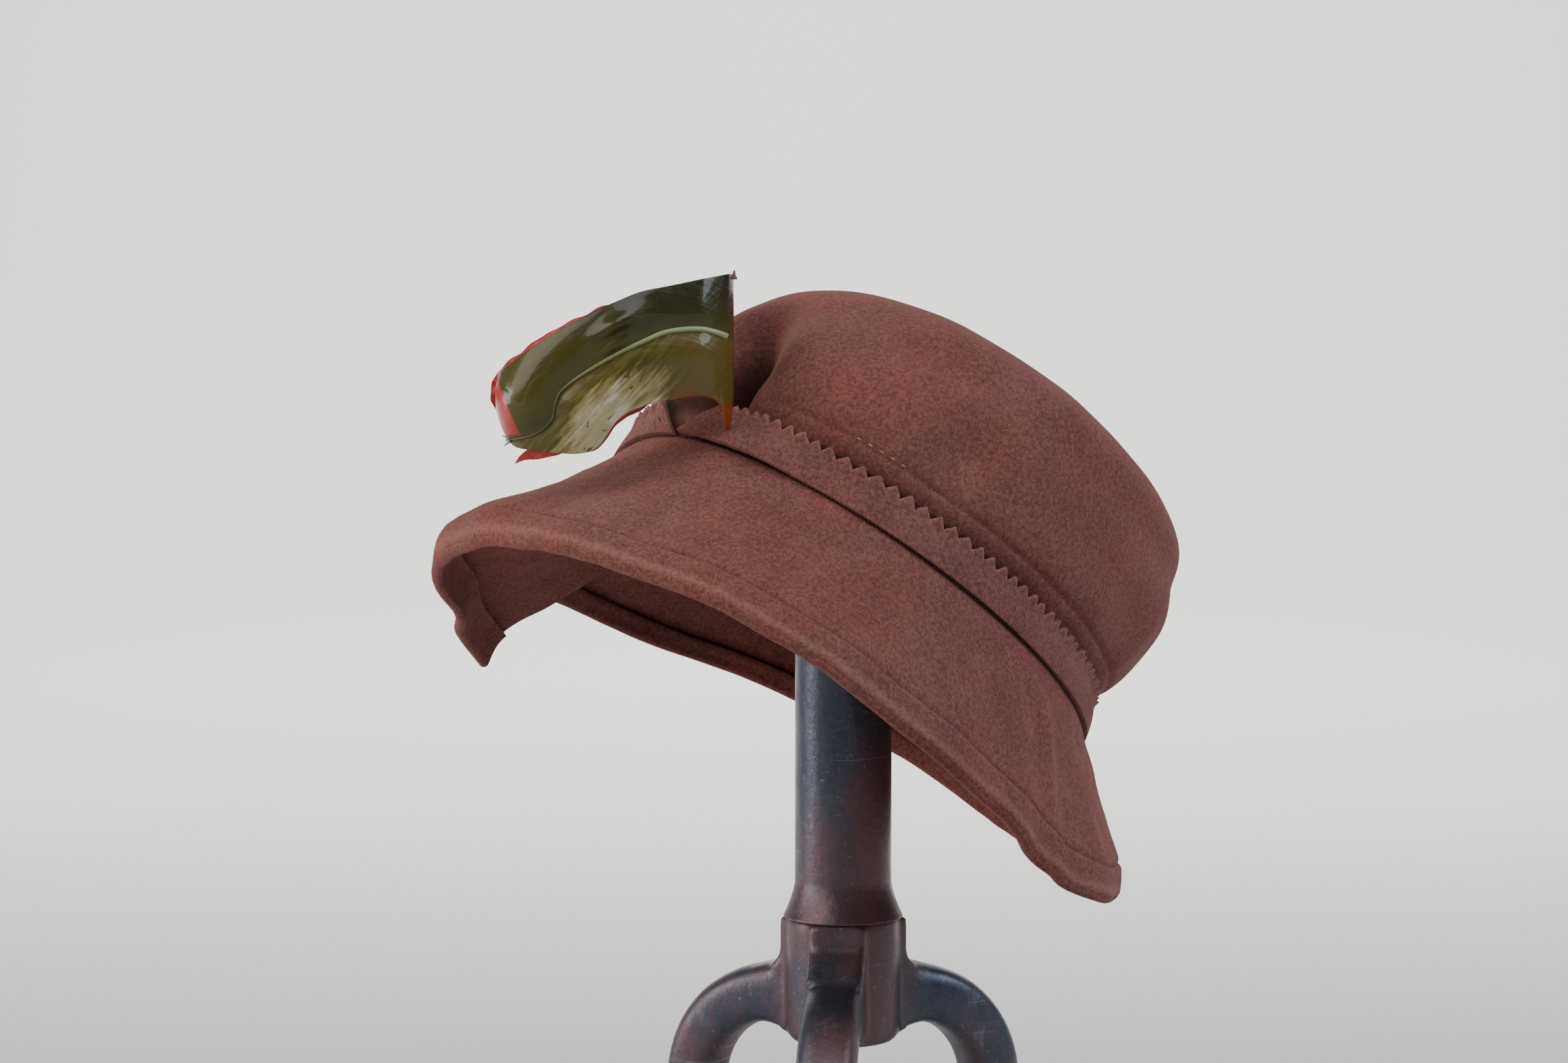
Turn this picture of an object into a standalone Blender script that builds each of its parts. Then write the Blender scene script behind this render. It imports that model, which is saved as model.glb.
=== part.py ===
"""A felt cloche hat with a deep front brim and a leaf ornament, tipped on the post of a cast-iron tripod stand.

Metres, +Z up. The stand's feet are on z = 0 and its post stands upright. The hat has a frame of its own: its
ring, where the brim is sewn to the crown, lies in z = 0, the wearer's forehead faces -Y and angles are measured
round +Z from there, positive to the viewer's right. Everything is one body: the stand holds the hat by friction.
"""

from math import cos, exp, pi, radians, sin, sqrt

import bmesh
import bpy
import numpy as np
from mathutils import Matrix, Vector

CLEARANCE = 0.0003             # between pieces that touch

# Where the stand's axis is, so that the middle of the part's outline lies over the origin
STAND_X = 0.0109
STAND_Y = 0.0137

# Stand
POST_RADIUS = 0.0158
BELL_RADIUS = 0.0196           # the foot of the post, where it sits on the collar
BELL_HEIGHT = 0.0120
BELL_ROUND = 0.0015            # the rounding of its lower edge
COLLAR_RADIUS = 0.0186
COLLAR_BOTTOM = 0.0645         # height of the collar's underside
COLLAR_TOP = 0.1060
COLLAR_RIM = 0.0012            # the rounding of its edges
RIB_WIDTH = 0.0175             # the flat rib that runs up the collar from each leg
RIB_REACH = 0.0188             # how far the rib's face is from the post's axis
LEG_ANGLES = (-5.0, 118.0, 240.0)   # degrees round the post, from -Y
LEG_DEPTH = 0.0182             # of the bar, up and down, where it leaves the collar
LEG_WIDTH = 0.0190
LEG_TAPER = 0.84               # the bar's depth at the foot, as a share of that at the collar
LEG_DROP = 0.0196              # from the collar's top down to the leg's top edge
LEG_BEND = 0.0330              # radius of the bend, at the middle of the bar
LEG_FLARE = 0.34               # how much thicker the bar is at the collar, as a share
LEG_REACH = 0.0560             # from the post's axis to the middle of a foot

# Hat: ring and seat
RING_HALF_WIDTH = 0.0857       # at the ears
RING_HALF_LENGTH = 0.0977      # at the forehead and the nape
SEAT_OFFSET = 0.0029           # of the ring's middle from the post's axis, to the viewer's right
SEAT_HEIGHT = 0.2104           # of the ring's middle over the floor
SEAT_YAW = -30.0               # the forehead turned to the viewer's left, degrees
SEAT_LEAN = 16.7               # the crown leaned back
SEAT_ROLL = 33.1               # the crown leaned to the viewer's right

# Hat: felt pieces
FELT = 0.0020
CROWN_HEIGHT = 0.0882
CROWN_INSET = 0.0005           # of the crown's wall inside the ring
SAG_ANGLE = 120.0              # the side that the soft crown sags towards
RING_DIP = 0.0085              # how far the ring droops below its plane over the temple
RING_DIP_ANGLE = -64.0
RING_DIP_SPREAD = 27.0
BAND_HEIGHT = 0.0140
BAND_EASE = 0.0003             # how loosely the band lies on the crown
BAND_BOW = 0.0006              # how far its middle bows out
PINK_PITCH = 0.0054
PINK_DEPTH = 0.0028
BAND_END = -22.5               # where the band's front end starts at the seam
BAND_PARTING = 2.0             # degrees between its two ends at the seam
BAND_RAISED = 16.0             # degrees of the front end that stand off the crown
BAND_SLANT = 7.0               # how much further back the top of the front end is cut
BACK_SLANT = 14.0              # the same for the back end
SLANT_RUN = 0.083              # share of the band over which each slant fades
BAND_SETTLE = 14.0             # degrees over which the raised end comes down to the crown
PIPING_RADIUS = 0.00065
PIPING_OUT = 0.0008            # of the cord's middle outside the ring
BRIM_DEPTH = 0.0760            # of the front brim at its longest
BRIM_BULGE = 0.0030            # how far the felt bows out from the straight
BULGE_PLACE = 3.9              # how near the hem: a higher power bows it nearer
BACK_BRIM_DEPTH = 0.0470
HEM_WIDTH = 0.0110

# Leaf: it stands upright on the band, at the front
LEAF_ANGLE = -9.2
LEAF_FOOT = 0.32               # height of its stalk's end on the band, as a share of the band's height
LEAF_LENGTH = 0.0728
LEAF_WIDTH = 0.0538
LEAF_CUP = 0.0060              # how far its edges lean back from its middle
LEAF_THICKNESS = 0.0008
BRACT_THICKNESS = 0.0006
BRACT_SET = 0.0026             # of the bract's middle behind the blade's
MIDRIB_SET = 0.0015            # of the midrib's middle in front of the blade's
MIDRIB_WIDTH = 0.0015

# The crown's outline: share of its height, and its reach from the axis as a share of the ring's, on the side that
# stands up and on the side that sags
CROWN_PROFILE = (
    # height, upright side, sagging side
    (0.003, 0.994, 0.994),
    (0.075, 0.987, 0.970),
    (0.150, 0.985, 0.944),
    (0.225, 1.003, 0.985),
    (0.330, 1.012, 1.018),
    (0.490, 0.970, 1.028),
    (0.640, 0.875, 1.004),
    (0.790, 0.768, 0.966),
    (0.900, 0.600, 0.765),
    (0.970, 0.370, 0.410),
    (1.000, 0.000, 0.000),
)

# Dents of the crown, and where it puffs out (a depth below 0)
CROWN_DENTS = (
    # angle, share of the height, depth as a share of it, half widths round and up, degrees that it leans by up there
    (-18.5, 0.40, 0.130, 6.5, 0.21, -22.0),
    (-36.0, 0.66, -0.045, 13.0, 0.20, 0.0),
    (30.5, 0.42, 0.025, 7.0, 0.18, 12.0),
    (62.0, 0.48, 0.035, 22.0, 0.15, 0.0),
)

# The front brim from its left end to its right end
FRONT_BRIM = (
    # angle, depth as a share of the greatest, fall below the ring's plane (degrees), share of the bulge
    (-99.8, 1.020, 63.5, 1.8),
    (-75.0, 0.877, 66.1, 3.3),
    (-45.0, 0.905, 62.1, 2.3),
    (-15.0, 0.835, 62.6, 0.7),
    (15.0, 0.743, 61.0, 0.6),
    (45.0, 0.750, 62.6, 0.5),
    (70.0, 0.748, 63.4, 0.5),
    (84.0, 0.803, 61.9, 0.6),
    (96.0, 0.810, 51.2, 0.7),
    (108.0, 0.709, 46.6, 0.6),
)

# The back brim from its end on the viewer's right, which lies under the front brim, round the nape to its other
# end, which laps over it
BACK_BRIM = (
    # angle, depth as a share of the greatest, fall (degrees), share of the bulge, layer: -1 under, 1 over
    (99.0, 0.95, 66.0, 0.0, -1.0),
    (110.0, 0.88, 66.0, 0.0, -1.0),
    (125.0, 0.79, 65.0, 0.0, 0.0),
    (150.0, 0.600, 64.0, 0.0, 0.0),
    (180.0, 0.375, 63.0, 0.0, 0.0),
    (210.0, 0.435, 63.0, 0.2, 0.0),
    (235.0, 0.715, 61.0, 0.6, 0.2),
    (252.0, 0.935, 58.0, 1.0, 1.0),
    (266.0, 1.05, 57.0, 1.0, 1.0),
)

# The leaf's green blade, from the fold behind its stalk to its tip: shares of its length along it and back from the
# viewer, and of its width for its lower and upper edges over the stalk
LEAF_BLADE = (
    # along, back, lower edge, upper edge
    (0.010, 0.190, 0.360, 0.850),
    (-0.012, 0.080, 0.250, 0.890),
    (0.006, 0.000, 0.010, 0.895),
    (0.045, -0.060, 0.160, 0.885),
    (0.115, -0.110, 0.208, 0.866),
    (0.250, -0.170, 0.188, 0.827),
    (0.360, -0.210, 0.154, 0.796),
    (0.457, -0.235, 0.085, 0.743),
    (0.540, -0.245, -0.069, 0.693),
    (0.620, -0.245, -0.108, 0.636),
    (0.716, -0.235, -0.104, 0.565),
    (0.812, -0.210, -0.093, 0.483),
    (0.894, -0.170, -0.069, 0.403),
    (0.948, -0.125, 0.020, 0.349),
    (0.984, -0.070, 0.143, 0.270),
)

LEAF_FOLD_ROWS = 2             # the rows before the blade's front edge

# The red bract behind it, which shows past its edges
LEAF_BRACT = (
    # along, lower edge, upper edge
    (0.264, 0.230, 0.760),
    (0.360, 0.138, 0.770),
    (0.457, 0.065, 0.735),
    (0.540, -0.080, 0.700),
    (0.620, -0.095, 0.655),
    (0.716, -0.150, 0.595),
    (0.812, -0.150, 0.520),
    (0.894, -0.120, 0.445),
    (0.950, -0.020, 0.385),
    (0.998, 0.110, 0.275),
)

# The pale midrib: share along the blade, height and width
MIDRIB = (
    # along, height as a share of the leaf's width, share of the midrib's width
    (0.045, 0.562, 1.0),
    (0.114, 0.585, 1.0),
    (0.266, 0.568, 0.8),
    (0.400, 0.490, 0.7),
    (0.556, 0.374, 0.5),
    (0.696, 0.242, 0.3),
)


def smooth_row(rows, share):
    """The row at a share (0 to 1) of the way through a table, on a smooth curve through its rows."""
    rows = np.asarray(rows, dtype=float)
    at = min(max(share, 0.0), 1.0) * (len(rows) - 1)
    first = min(int(at), len(rows) - 2)
    part = at - first
    before, here, there, after = (rows[min(max(first + step, 0), len(rows) - 1)] for step in (-1, 0, 1, 2))
    return (here + 0.5 * part * (there - before)
            + part ** 2 * (before - 2.5 * here + 2.0 * there - 0.5 * after)
            + part ** 3 * (1.5 * (here - there) + 0.5 * (after - before)))


def material(name, colour, roughness, metallic=0.0):
    """A plain finish."""
    finish = bpy.data.materials.new(name)
    finish.use_nodes = True
    shader = finish.node_tree.nodes["Principled BSDF"]
    shader.inputs["Base Color"].default_value = (*colour, 1.0)
    shader.inputs["Roughness"].default_value = roughness
    shader.inputs["Metallic"].default_value = metallic
    return finish


def finished(name, mesh_data, finish, parent):
    """Turn a bmesh into a named, smooth-shaded object under its parent."""
    mesh = bpy.data.meshes.new(name)
    mesh_data.to_mesh(mesh)
    mesh_data.free()
    mesh.materials.append(finish)
    mesh.shade_smooth()
    mesh.set_sharp_from_angle(angle=radians(40.0))
    piece = bpy.data.objects.new(name, mesh)
    bpy.context.scene.collection.objects.link(piece)
    piece.parent = parent
    return piece


def empty(name, parent=None):
    """A frame that pieces hang from."""
    frame = bpy.data.objects.new(name, None)
    bpy.context.scene.collection.objects.link(frame)
    frame.parent = parent
    return frame


def sheet(name, columns, rows, place, finish, parent, thickness):
    """A sheet of even thickness whose middle follows place(across, along), with both shares running 0 to 1."""
    grid = bmesh.new()
    bmesh.ops.create_grid(grid, x_segments=columns, y_segments=rows, size=0.5)
    for vertex in grid.verts:
        vertex.co = place(vertex.co.x + 0.5, vertex.co.y + 0.5)
    bmesh.ops.remove_doubles(grid, verts=grid.verts, dist=1e-6)
    piece = finished(name, grid, finish, parent)
    wall = piece.modifiers.new("Felt", "SOLIDIFY")
    wall.thickness = thickness
    wall.offset = 0.0
    return piece


def ring_radius(angle):
    """Distance from the hat's axis to its oval ring."""
    return 1.0 / sqrt((sin(angle) / RING_HALF_WIDTH) ** 2 + (cos(angle) / RING_HALF_LENGTH) ** 2)


def ring_height(angle):
    """Height of the seam over the ring's plane: it droops over one temple."""
    aside = (angle - radians(RING_DIP_ANGLE) + pi) % (2.0 * pi) - pi
    return -RING_DIP * exp(-(aside / radians(RING_DIP_SPREAD)) ** 2)


def hat_point(angle, reach, height):
    """A point of the hat's frame, from its angle round the axis and its height over the seam.

    The droop of the ring fades out towards the top of the crown.
    """
    fade = 1.0 - min(max(height / CROWN_HEIGHT, 0.0), 1.0) ** 0.7
    return Vector((reach * sin(angle), -reach * cos(angle), height + ring_height(angle) * fade))


def crown_dent(angle, height):
    """How far the crown is pushed in at an angle and a share of its height."""
    depth = 0.0
    for at, middle, deep, around, up, lean in CROWN_DENTS:
        aside = (angle - radians(at + lean * (height - middle)) + pi) % (2.0 * pi) - pi
        depth += CROWN_HEIGHT * deep * exp(-(aside / radians(around)) ** 2 - ((height - middle) / up) ** 2)
    return depth


def crown_point(angle, share, inset=0.0):
    """A point of the crown's outside, or that far inside it: share runs from the ring to the top."""
    height, upright, sagging = smooth_row(CROWN_PROFILE, share)
    towards = 0.5 + 0.5 * cos(angle - radians(SAG_ANGLE))
    reach = (upright + (sagging - upright) * towards) * ring_radius(angle)
    edge = CROWN_INSET + inset + crown_dent(angle, height)
    return hat_point(angle, max(reach - edge * min(1.0, reach / (0.2 * RING_HALF_WIDTH)), 0.0),
                     height * CROWN_HEIGHT - inset * height ** 2)


def build_crown(finish, seat):
    """The soft crown: one closed shell, open below."""
    return sheet("crown", 60, 13, lambda across, along: crown_point(2.0 * pi * across, along, 0.5 * FELT),
                 finish, seat, FELT)


def build_band(finish, seat):
    """The band round the foot of the crown, with its pinked upper edge: its cut ends part in a V."""
    middle_reach = 0.5 * (RING_HALF_WIDTH + RING_HALF_LENGTH)
    sweep = 360.0 - BAND_PARTING
    teeth = round(radians(sweep) * middle_reach / PINK_PITCH)
    foot = 2.0 * PIPING_RADIUS + CLEARANCE

    def place(across, along):
        front, back = max(0.0, 1.0 - across / SLANT_RUN), max(0.0, 1.0 - (1.0 - across) / SLANT_RUN)
        turn = sweep * across + along * (BAND_SLANT * front - BACK_SLANT * back)
        valley = round(across * teeth * 2) % 2
        height = foot + (BAND_HEIGHT - PINK_DEPTH * valley) * along
        angle = radians(BAND_END + turn)
        over = min(max((BAND_RAISED - turn) / BAND_SETTLE + 1.15, 0.0), 1.0)
        layer = (FELT + CLEARANCE) * over ** 2 * (3.0 - 2.0 * over)
        reach = crown_reach_at(angle, height) + CLEARANCE + BAND_EASE + 0.5 * FELT + layer
        return hat_point(angle, reach + BAND_BOW * sin(pi * along), height)

    return sheet("hat_band", 2 * teeth, 2, place, finish, seat, FELT)


def crown_reach_at(angle, height):
    """How far the crown's wall reaches from the axis at a height over the seam, below its widest part."""
    low, high = 0.0, 0.5
    for _ in range(20):
        half = 0.5 * (low + high)
        if smooth_row(CROWN_PROFILE, half)[0] * CROWN_HEIGHT < height:
            low = half
        else:
            high = half
    point = crown_point(angle, low)
    return sqrt(point.x ** 2 + point.y ** 2)


def build_piping(finish, seat):
    """The thin cord in the seam between band and brim."""
    steps = 72
    cord = bpy.data.curves.new("piping", "CURVE")
    cord.dimensions = "3D"
    cord.bevel_depth = PIPING_RADIUS
    cord.bevel_resolution = 1
    route = cord.splines.new("POLY")
    route.points.add(steps - 1)
    for number, point in enumerate(route.points):
        angle = 2.0 * pi * number / steps
        point.co = (*hat_point(angle, ring_radius(angle) + PIPING_OUT, PIPING_RADIUS), 1.0)
    route.use_cyclic_u = True
    cord.materials.append(finish)
    piece = bpy.data.objects.new("piping", cord)
    bpy.context.scene.collection.objects.link(piece)
    piece.parent = seat
    return piece


def brim_point(angle, depth, fall, bulge, along, layer=0.0):
    """A point of a brim's felt, on its middle: it runs out to the hem, turns under there and comes back.

    along runs 0 to 1: first the brim itself, then the fold and the strip that is folded under. layer is -1 where
    the brim lies under another one and 1 where it laps over it, with its edge below the seam.
    """
    fold = 0.5 * FELT + 0.5 * CLEARANCE
    out, under = 0.56, 0.85
    if along <= out:
        share, lift = along / out, 0.0
    elif along <= under:
        turn = pi * (along - out) / (under - out)
        share, lift = 1.0 + fold / depth * sin(turn), -fold * (1.0 - cos(turn))
    else:
        share, lift = 1.0 - HEM_WIDTH / depth * (along - under) / (1.0 - under), -2.0 * fold
    start = 3.0 * FELT * max(layer, 0.0)
    run = start + (depth - fold - start) * share
    lift += bulge * sin(pi * min(share, 1.0) ** BULGE_PLACE) + (FELT + CLEARANCE) * layer - 0.5 * FELT
    slope = radians(fall)
    return hat_point(angle, ring_radius(angle) + run * cos(slope) + lift * sin(slope),
                     -run * sin(slope) + lift * cos(slope))


def build_front_brim(finish, seat):
    """The deep brim over the face, with its hem folded under."""
    def place(across, along):
        angle, share, fall, bow = smooth_row(FRONT_BRIM, across)
        return brim_point(radians(angle), share * BRIM_DEPTH, fall, bow * BRIM_BULGE, along)

    return sheet("front_brim", 44, 9, place, finish, seat, FELT)


def build_back_brim(finish, seat):
    """The shallow brim round the nape, with its hem folded under."""
    def place(across, along):
        angle, share, fall, bow, layer = smooth_row(BACK_BRIM, across)
        return brim_point(radians(angle), share * BACK_BRIM_DEPTH, fall, bow * BRIM_BULGE, along, layer)

    return sheet("back_brim", 36, 9, place, finish, seat, FELT)


def blade_point(row, across):
    """A point of a leaf's sheet in the leaf's frame: X along it, away from its tip, Y back and Z up."""
    along, back, low, high = row
    edge = (2.0 * across - 1.0) ** 2
    return Vector((-along * LEAF_LENGTH, back * LEAF_LENGTH + LEAF_CUP * edge * min(1.0, 2.0 * abs(back) + 0.2),
                   (low + (high - low) * across) * LEAF_WIDTH))


def blade_row(along):
    """The blade's row at a share of its length, past the rows of its fold."""
    low, high = LEAF_FOLD_ROWS / (len(LEAF_BLADE) - 1), 1.0
    for _ in range(20):
        half = 0.5 * (low + high)
        if smooth_row(LEAF_BLADE, half)[0] < along:
            low = half
        else:
            high = half
    return smooth_row(LEAF_BLADE, low)


def on_blade(along, height, front):
    """A point that far in front of the blade's middle, at shares of the leaf's length and width."""
    row = blade_row(along)
    point = blade_point(row, (height - row[2]) / (row[3] - row[2]))
    return Vector((-along * LEAF_LENGTH, point.y - front, point.z))


def build_leaf(green, red, pale, stalk):
    """The leaf: a cupped green blade, the red bract behind it and the raised midrib in front."""
    sheet("leaf", 30, 6, lambda along, across: blade_point(smooth_row(LEAF_BLADE, along), across),
          green, stalk, LEAF_THICKNESS)

    def bract(along, across):
        at, low, high = smooth_row(LEAF_BRACT, along)
        return on_blade(at, low + (high - low) * across, -BRACT_SET)

    sheet("leaf_bract", 18, 5, bract, red, stalk, BRACT_THICKNESS)

    def rib(along, across):
        at, height, width = smooth_row(MIDRIB, along)
        height += (across - 0.5) * width * MIDRIB_WIDTH / LEAF_WIDTH
        return on_blade(at, height, MIDRIB_SET)

    sheet("leaf_midrib", 16, 2, rib, pale, stalk, BRACT_THICKNESS)


def post_top(seat_matrix):
    """Height at which the post's domed end meets the crown from inside."""
    top = 1.0
    for across in range(120):
        for along in range(40, 100):
            point = seat_matrix @ crown_point(2.0 * pi * across / 120, along / 100, 1.1 * FELT)
            aside = point.x ** 2 + point.y ** 2
            if aside < POST_RADIUS ** 2:
                top = min(top, point.z + POST_RADIUS - sqrt(POST_RADIUS ** 2 - aside))
    return top - CLEARANCE


def turned(name, profile, sides, finish, parent):
    """A solid of revolution about +Z from (reach, height) pairs that start and end on the axis."""
    body = bmesh.new()
    verts = [body.verts.new((reach, 0.0, height)) for reach, height in profile]
    edges = [body.edges.new(pair) for pair in zip(verts, verts[1:])]
    bmesh.ops.spin(body, geom=verts + edges, cent=(0, 0, 0), axis=(0, 0, 1), angle=2.0 * pi, steps=sides,
                   use_merge=True)
    bmesh.ops.remove_doubles(body, verts=body.verts, dist=1e-6)
    bmesh.ops.recalc_face_normals(body, faces=body.faces)
    return finished(name, body, finish, parent)


def build_post(finish, axis, top):
    """The round post: a bell foot on the collar and a domed end inside the hat."""
    foot = COLLAR_TOP + CLEARANCE
    profile = [(0.0, foot), (BELL_RADIUS - BELL_ROUND, foot), (BELL_RADIUS, foot + BELL_ROUND)]
    for step in range(5):
        share = (step + 1) / 5
        ease = (1.0 - share) ** 2.2
        profile.append((POST_RADIUS + (BELL_RADIUS - POST_RADIUS) * ease, foot + BELL_ROUND + BELL_HEIGHT * share))
    for step in range(7):
        turn = 0.5 * pi * step / 6
        profile.append((POST_RADIUS * cos(turn), top - POST_RADIUS + POST_RADIUS * sin(turn)))
    return turned("stand_post", profile, 28, finish, axis)


def leg_middle(share):
    """Middle of a leg's bar at a share of its way from the collar to the foot: reach, height and slope."""
    start = 0.6 * COLLAR_RADIUS
    height = COLLAR_TOP - LEG_DROP - 0.5 * LEG_DEPTH
    straight = LEG_REACH - LEG_BEND - start
    bend = 0.5 * pi * LEG_BEND
    drop = height - LEG_BEND
    way = share * (straight + bend + drop)
    if way < straight:
        return start + way, height, 0.0
    if way < straight + bend:
        turn = (way - straight) / LEG_BEND
        return start + straight + LEG_BEND * sin(turn), height - LEG_BEND * (1.0 - cos(turn)), turn
    return LEG_REACH, height - LEG_BEND - (way - straight - bend), 0.5 * pi


def build_leg(name, angle, finish, parent):
    """One curved leg, a bar with rounded edges."""
    leg = bmesh.new()
    sides, steps = 12, 14
    loops = []
    for step in range(steps + 1):
        share = step / steps
        reach, height, slope = leg_middle(share)
        flare = 1.0 + LEG_FLARE * max(0.0, 1.0 - share * 6.0)
        deep = 0.5 * LEG_DEPTH * (1.0 + (LEG_TAPER - 1.0) * share) * flare
        wide = 0.5 * LEG_WIDTH * flare ** 0.5
        loop = []
        for side in range(sides):
            turn = 2.0 * pi * (side + 0.5) / sides
            across = wide * np.sign(cos(turn)) * abs(cos(turn)) ** 0.6
            up = deep * np.sign(sin(turn)) * abs(sin(turn)) ** 0.6
            loop.append(leg.verts.new(hat_point(0.0, reach + up * sin(slope), height + up * cos(slope))
                                      + Vector((across, 0.0, 0.0))))
        loops.append(loop)
    for near, far in zip(loops, loops[1:]):
        for side in range(sides):
            after = (side + 1) % sides
            leg.faces.new((near[side], near[after], far[after], far[side]))
    leg.faces.new(loops[0])
    leg.faces.new(reversed(loops[-1]))
    bmesh.ops.recalc_face_normals(leg, faces=leg.faces)
    return cutter(finished(name, leg, finish, parent), angle)


def build_rib(name, angle, finish, parent):
    """The flat rib of one leg, from the collar's foot to its top."""
    rib = bmesh.new()
    bmesh.ops.create_cube(rib, size=1.0)
    low, high = COLLAR_BOTTOM + 3.0 * COLLAR_RIM, COLLAR_TOP - COLLAR_RIM
    bmesh.ops.scale(rib, verts=rib.verts, vec=(RIB_WIDTH, RIB_REACH, high - low))
    bmesh.ops.translate(rib, verts=rib.verts, vec=(0.0, -0.5 * RIB_REACH, 0.5 * (low + high)))
    bmesh.ops.bevel(rib, geom=rib.edges[:], offset=COLLAR_RIM, segments=2, affect="EDGES", profile=0.5)
    return cutter(finished(name, rib, finish, parent), angle)


def cutter(piece, angle):
    """Turn a shape to its place round the post and leave it out of the model: it is joined to the collar."""
    piece.rotation_euler.z = radians(angle)
    piece.hide_render = True
    piece.display_type = "WIRE"
    return piece


def build_base(finish, axis):
    """The collar with its three legs and their ribs, cast in one piece."""
    profile = [(0.0, COLLAR_BOTTOM), (COLLAR_RADIUS - 3.0 * COLLAR_RIM, COLLAR_BOTTOM),
               (COLLAR_RADIUS, COLLAR_BOTTOM + 4.0 * COLLAR_RIM), (COLLAR_RADIUS, COLLAR_TOP - COLLAR_RIM),
               (COLLAR_RADIUS - COLLAR_RIM, COLLAR_TOP), (0.0, COLLAR_TOP)]
    base = turned("stand_base", profile, 28, finish, axis)
    for number, angle in enumerate(LEG_ANGLES, start=1):
        for shape in (build_rib(f"rib_shape_{number}", angle, finish, axis),
                      build_leg(f"leg_shape_{number}", angle, finish, axis)):
            join = base.modifiers.new(shape.name, "BOOLEAN")
            join.operation = "UNION"
            join.object = shape
    return base


def main():
    """Build the hat and its stand."""
    for old in list(bpy.data.objects):
        bpy.data.objects.remove(old, do_unlink=True)
    felt = material("brick felt", (0.171, 0.073, 0.060), 0.95)
    band_felt = material("band felt", (0.160, 0.068, 0.058), 0.95)
    cord = material("dark piping", (0.018, 0.012, 0.022), 0.45)
    green = material("glossy leaf", (0.060, 0.060, 0.014), 0.22)
    red = material("red bract", (0.350, 0.035, 0.022), 0.40)
    pale = material("pale midrib", (0.280, 0.300, 0.120), 0.40)
    iron = material("patinated iron", (0.055, 0.047, 0.055), 0.45, 0.85)

    axis = empty("stand_axis")
    axis.location = (STAND_X, STAND_Y, 0.0)
    seat = empty("hat_seat", axis)
    seat.rotation_mode = "ZXY"
    seat.location = (SEAT_OFFSET, 0.0, SEAT_HEIGHT)
    seat.rotation_euler = (radians(-SEAT_LEAN), radians(SEAT_ROLL), radians(SEAT_YAW))
    seat_matrix = Matrix.Translation(seat.location) @ seat.rotation_euler.to_matrix().to_4x4()

    build_crown(felt, seat)
    build_band(band_felt, seat)
    build_piping(cord, seat)
    build_front_brim(felt, seat)
    build_back_brim(felt, seat)
    stalk = empty("leaf_stalk", axis)
    angle, height = radians(LEAF_ANGLE), LEAF_FOOT * BAND_HEIGHT
    on_band = (crown_reach_at(angle, height) + BAND_EASE + BAND_BOW + 2.0 * FELT + 3.0 * CLEARANCE
               + 0.5 * LEAF_THICKNESS)
    stalk.location = seat_matrix @ hat_point(angle, on_band, height)
    build_leaf(green, red, pale, stalk)
    build_post(iron, axis, post_top(seat_matrix))
    build_base(iron, axis)


main()
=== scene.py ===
"""Dressed model of a felt cloche hat with a leaf ornament, tipped on the post of a cast-iron stand.

Metres, +Z up. The hat has a frame of its own: its ring, where the brim is sewn to the crown, lies in z = 0, the
wearer's forehead faces -Y, and angles are measured round +Z from there, positive to the viewer's right. Tables
hold shares of named sizes. Each sub-assembly is a class with its sizes as fields and methods that build and dress
its pieces.
"""

import logging
from collections.abc import Callable
from dataclasses import dataclass
from enum import Enum
from math import cos, pi, radians, sin

import bpy
import numpy as np
from mathutils import Euler, Matrix, Vector


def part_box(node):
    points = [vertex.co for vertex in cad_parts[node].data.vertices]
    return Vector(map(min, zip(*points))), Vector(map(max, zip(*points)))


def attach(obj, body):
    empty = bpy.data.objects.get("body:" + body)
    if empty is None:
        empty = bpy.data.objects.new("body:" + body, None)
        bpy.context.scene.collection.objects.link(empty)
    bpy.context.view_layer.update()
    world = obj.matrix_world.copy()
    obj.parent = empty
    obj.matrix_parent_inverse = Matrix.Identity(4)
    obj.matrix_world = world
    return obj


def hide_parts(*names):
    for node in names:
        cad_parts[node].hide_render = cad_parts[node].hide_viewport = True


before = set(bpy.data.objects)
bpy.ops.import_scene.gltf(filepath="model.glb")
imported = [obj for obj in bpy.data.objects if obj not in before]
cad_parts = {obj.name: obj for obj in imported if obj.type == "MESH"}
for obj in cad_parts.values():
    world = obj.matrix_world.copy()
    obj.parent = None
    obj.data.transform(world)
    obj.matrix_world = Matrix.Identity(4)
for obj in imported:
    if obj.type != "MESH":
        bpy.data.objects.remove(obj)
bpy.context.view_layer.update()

logging.basicConfig(level=logging.INFO, format="%(message)s")
log = logging.getLogger("hat")

BODY = "root"
CLEARANCE = 0.0003
FELT = 0.0020

Rows = tuple[tuple[float, ...], ...]


# Small tools for shaping

def smooth_rows(rows: Rows, shares: np.ndarray) -> np.ndarray:
    """Read a table on a smooth curve through its rows.

    Args:
        rows: The table, one row for each section.
        shares: How far through the table to read, 0 to 1.

    Returns:
        One row of numbers for each share.
    """
    table = np.asarray(rows, dtype=float)
    at = np.clip(shares, 0.0, 1.0) * (len(table) - 1)
    first = np.minimum(at.astype(int), len(table) - 2)
    part = (at - first)[..., None]
    before, here, there, after = (table[np.clip(first + step, 0, len(table) - 1)] for step in (-1, 0, 1, 2))
    return (here + 0.5 * part * (there - before) + part ** 2 * (before - 2.5 * here + 2.0 * there - 0.5 * after)
            + part ** 3 * (1.5 * (here - there) + 0.5 * (after - before)))


def ramp(value: np.ndarray, low: float, high: float) -> np.ndarray:
    """Rise smoothly from 0 at low to 1 at high."""
    part = np.clip((value - low) / (high - low), 0.0, 1.0)
    return part * part * (3.0 - 2.0 * part)


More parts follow.
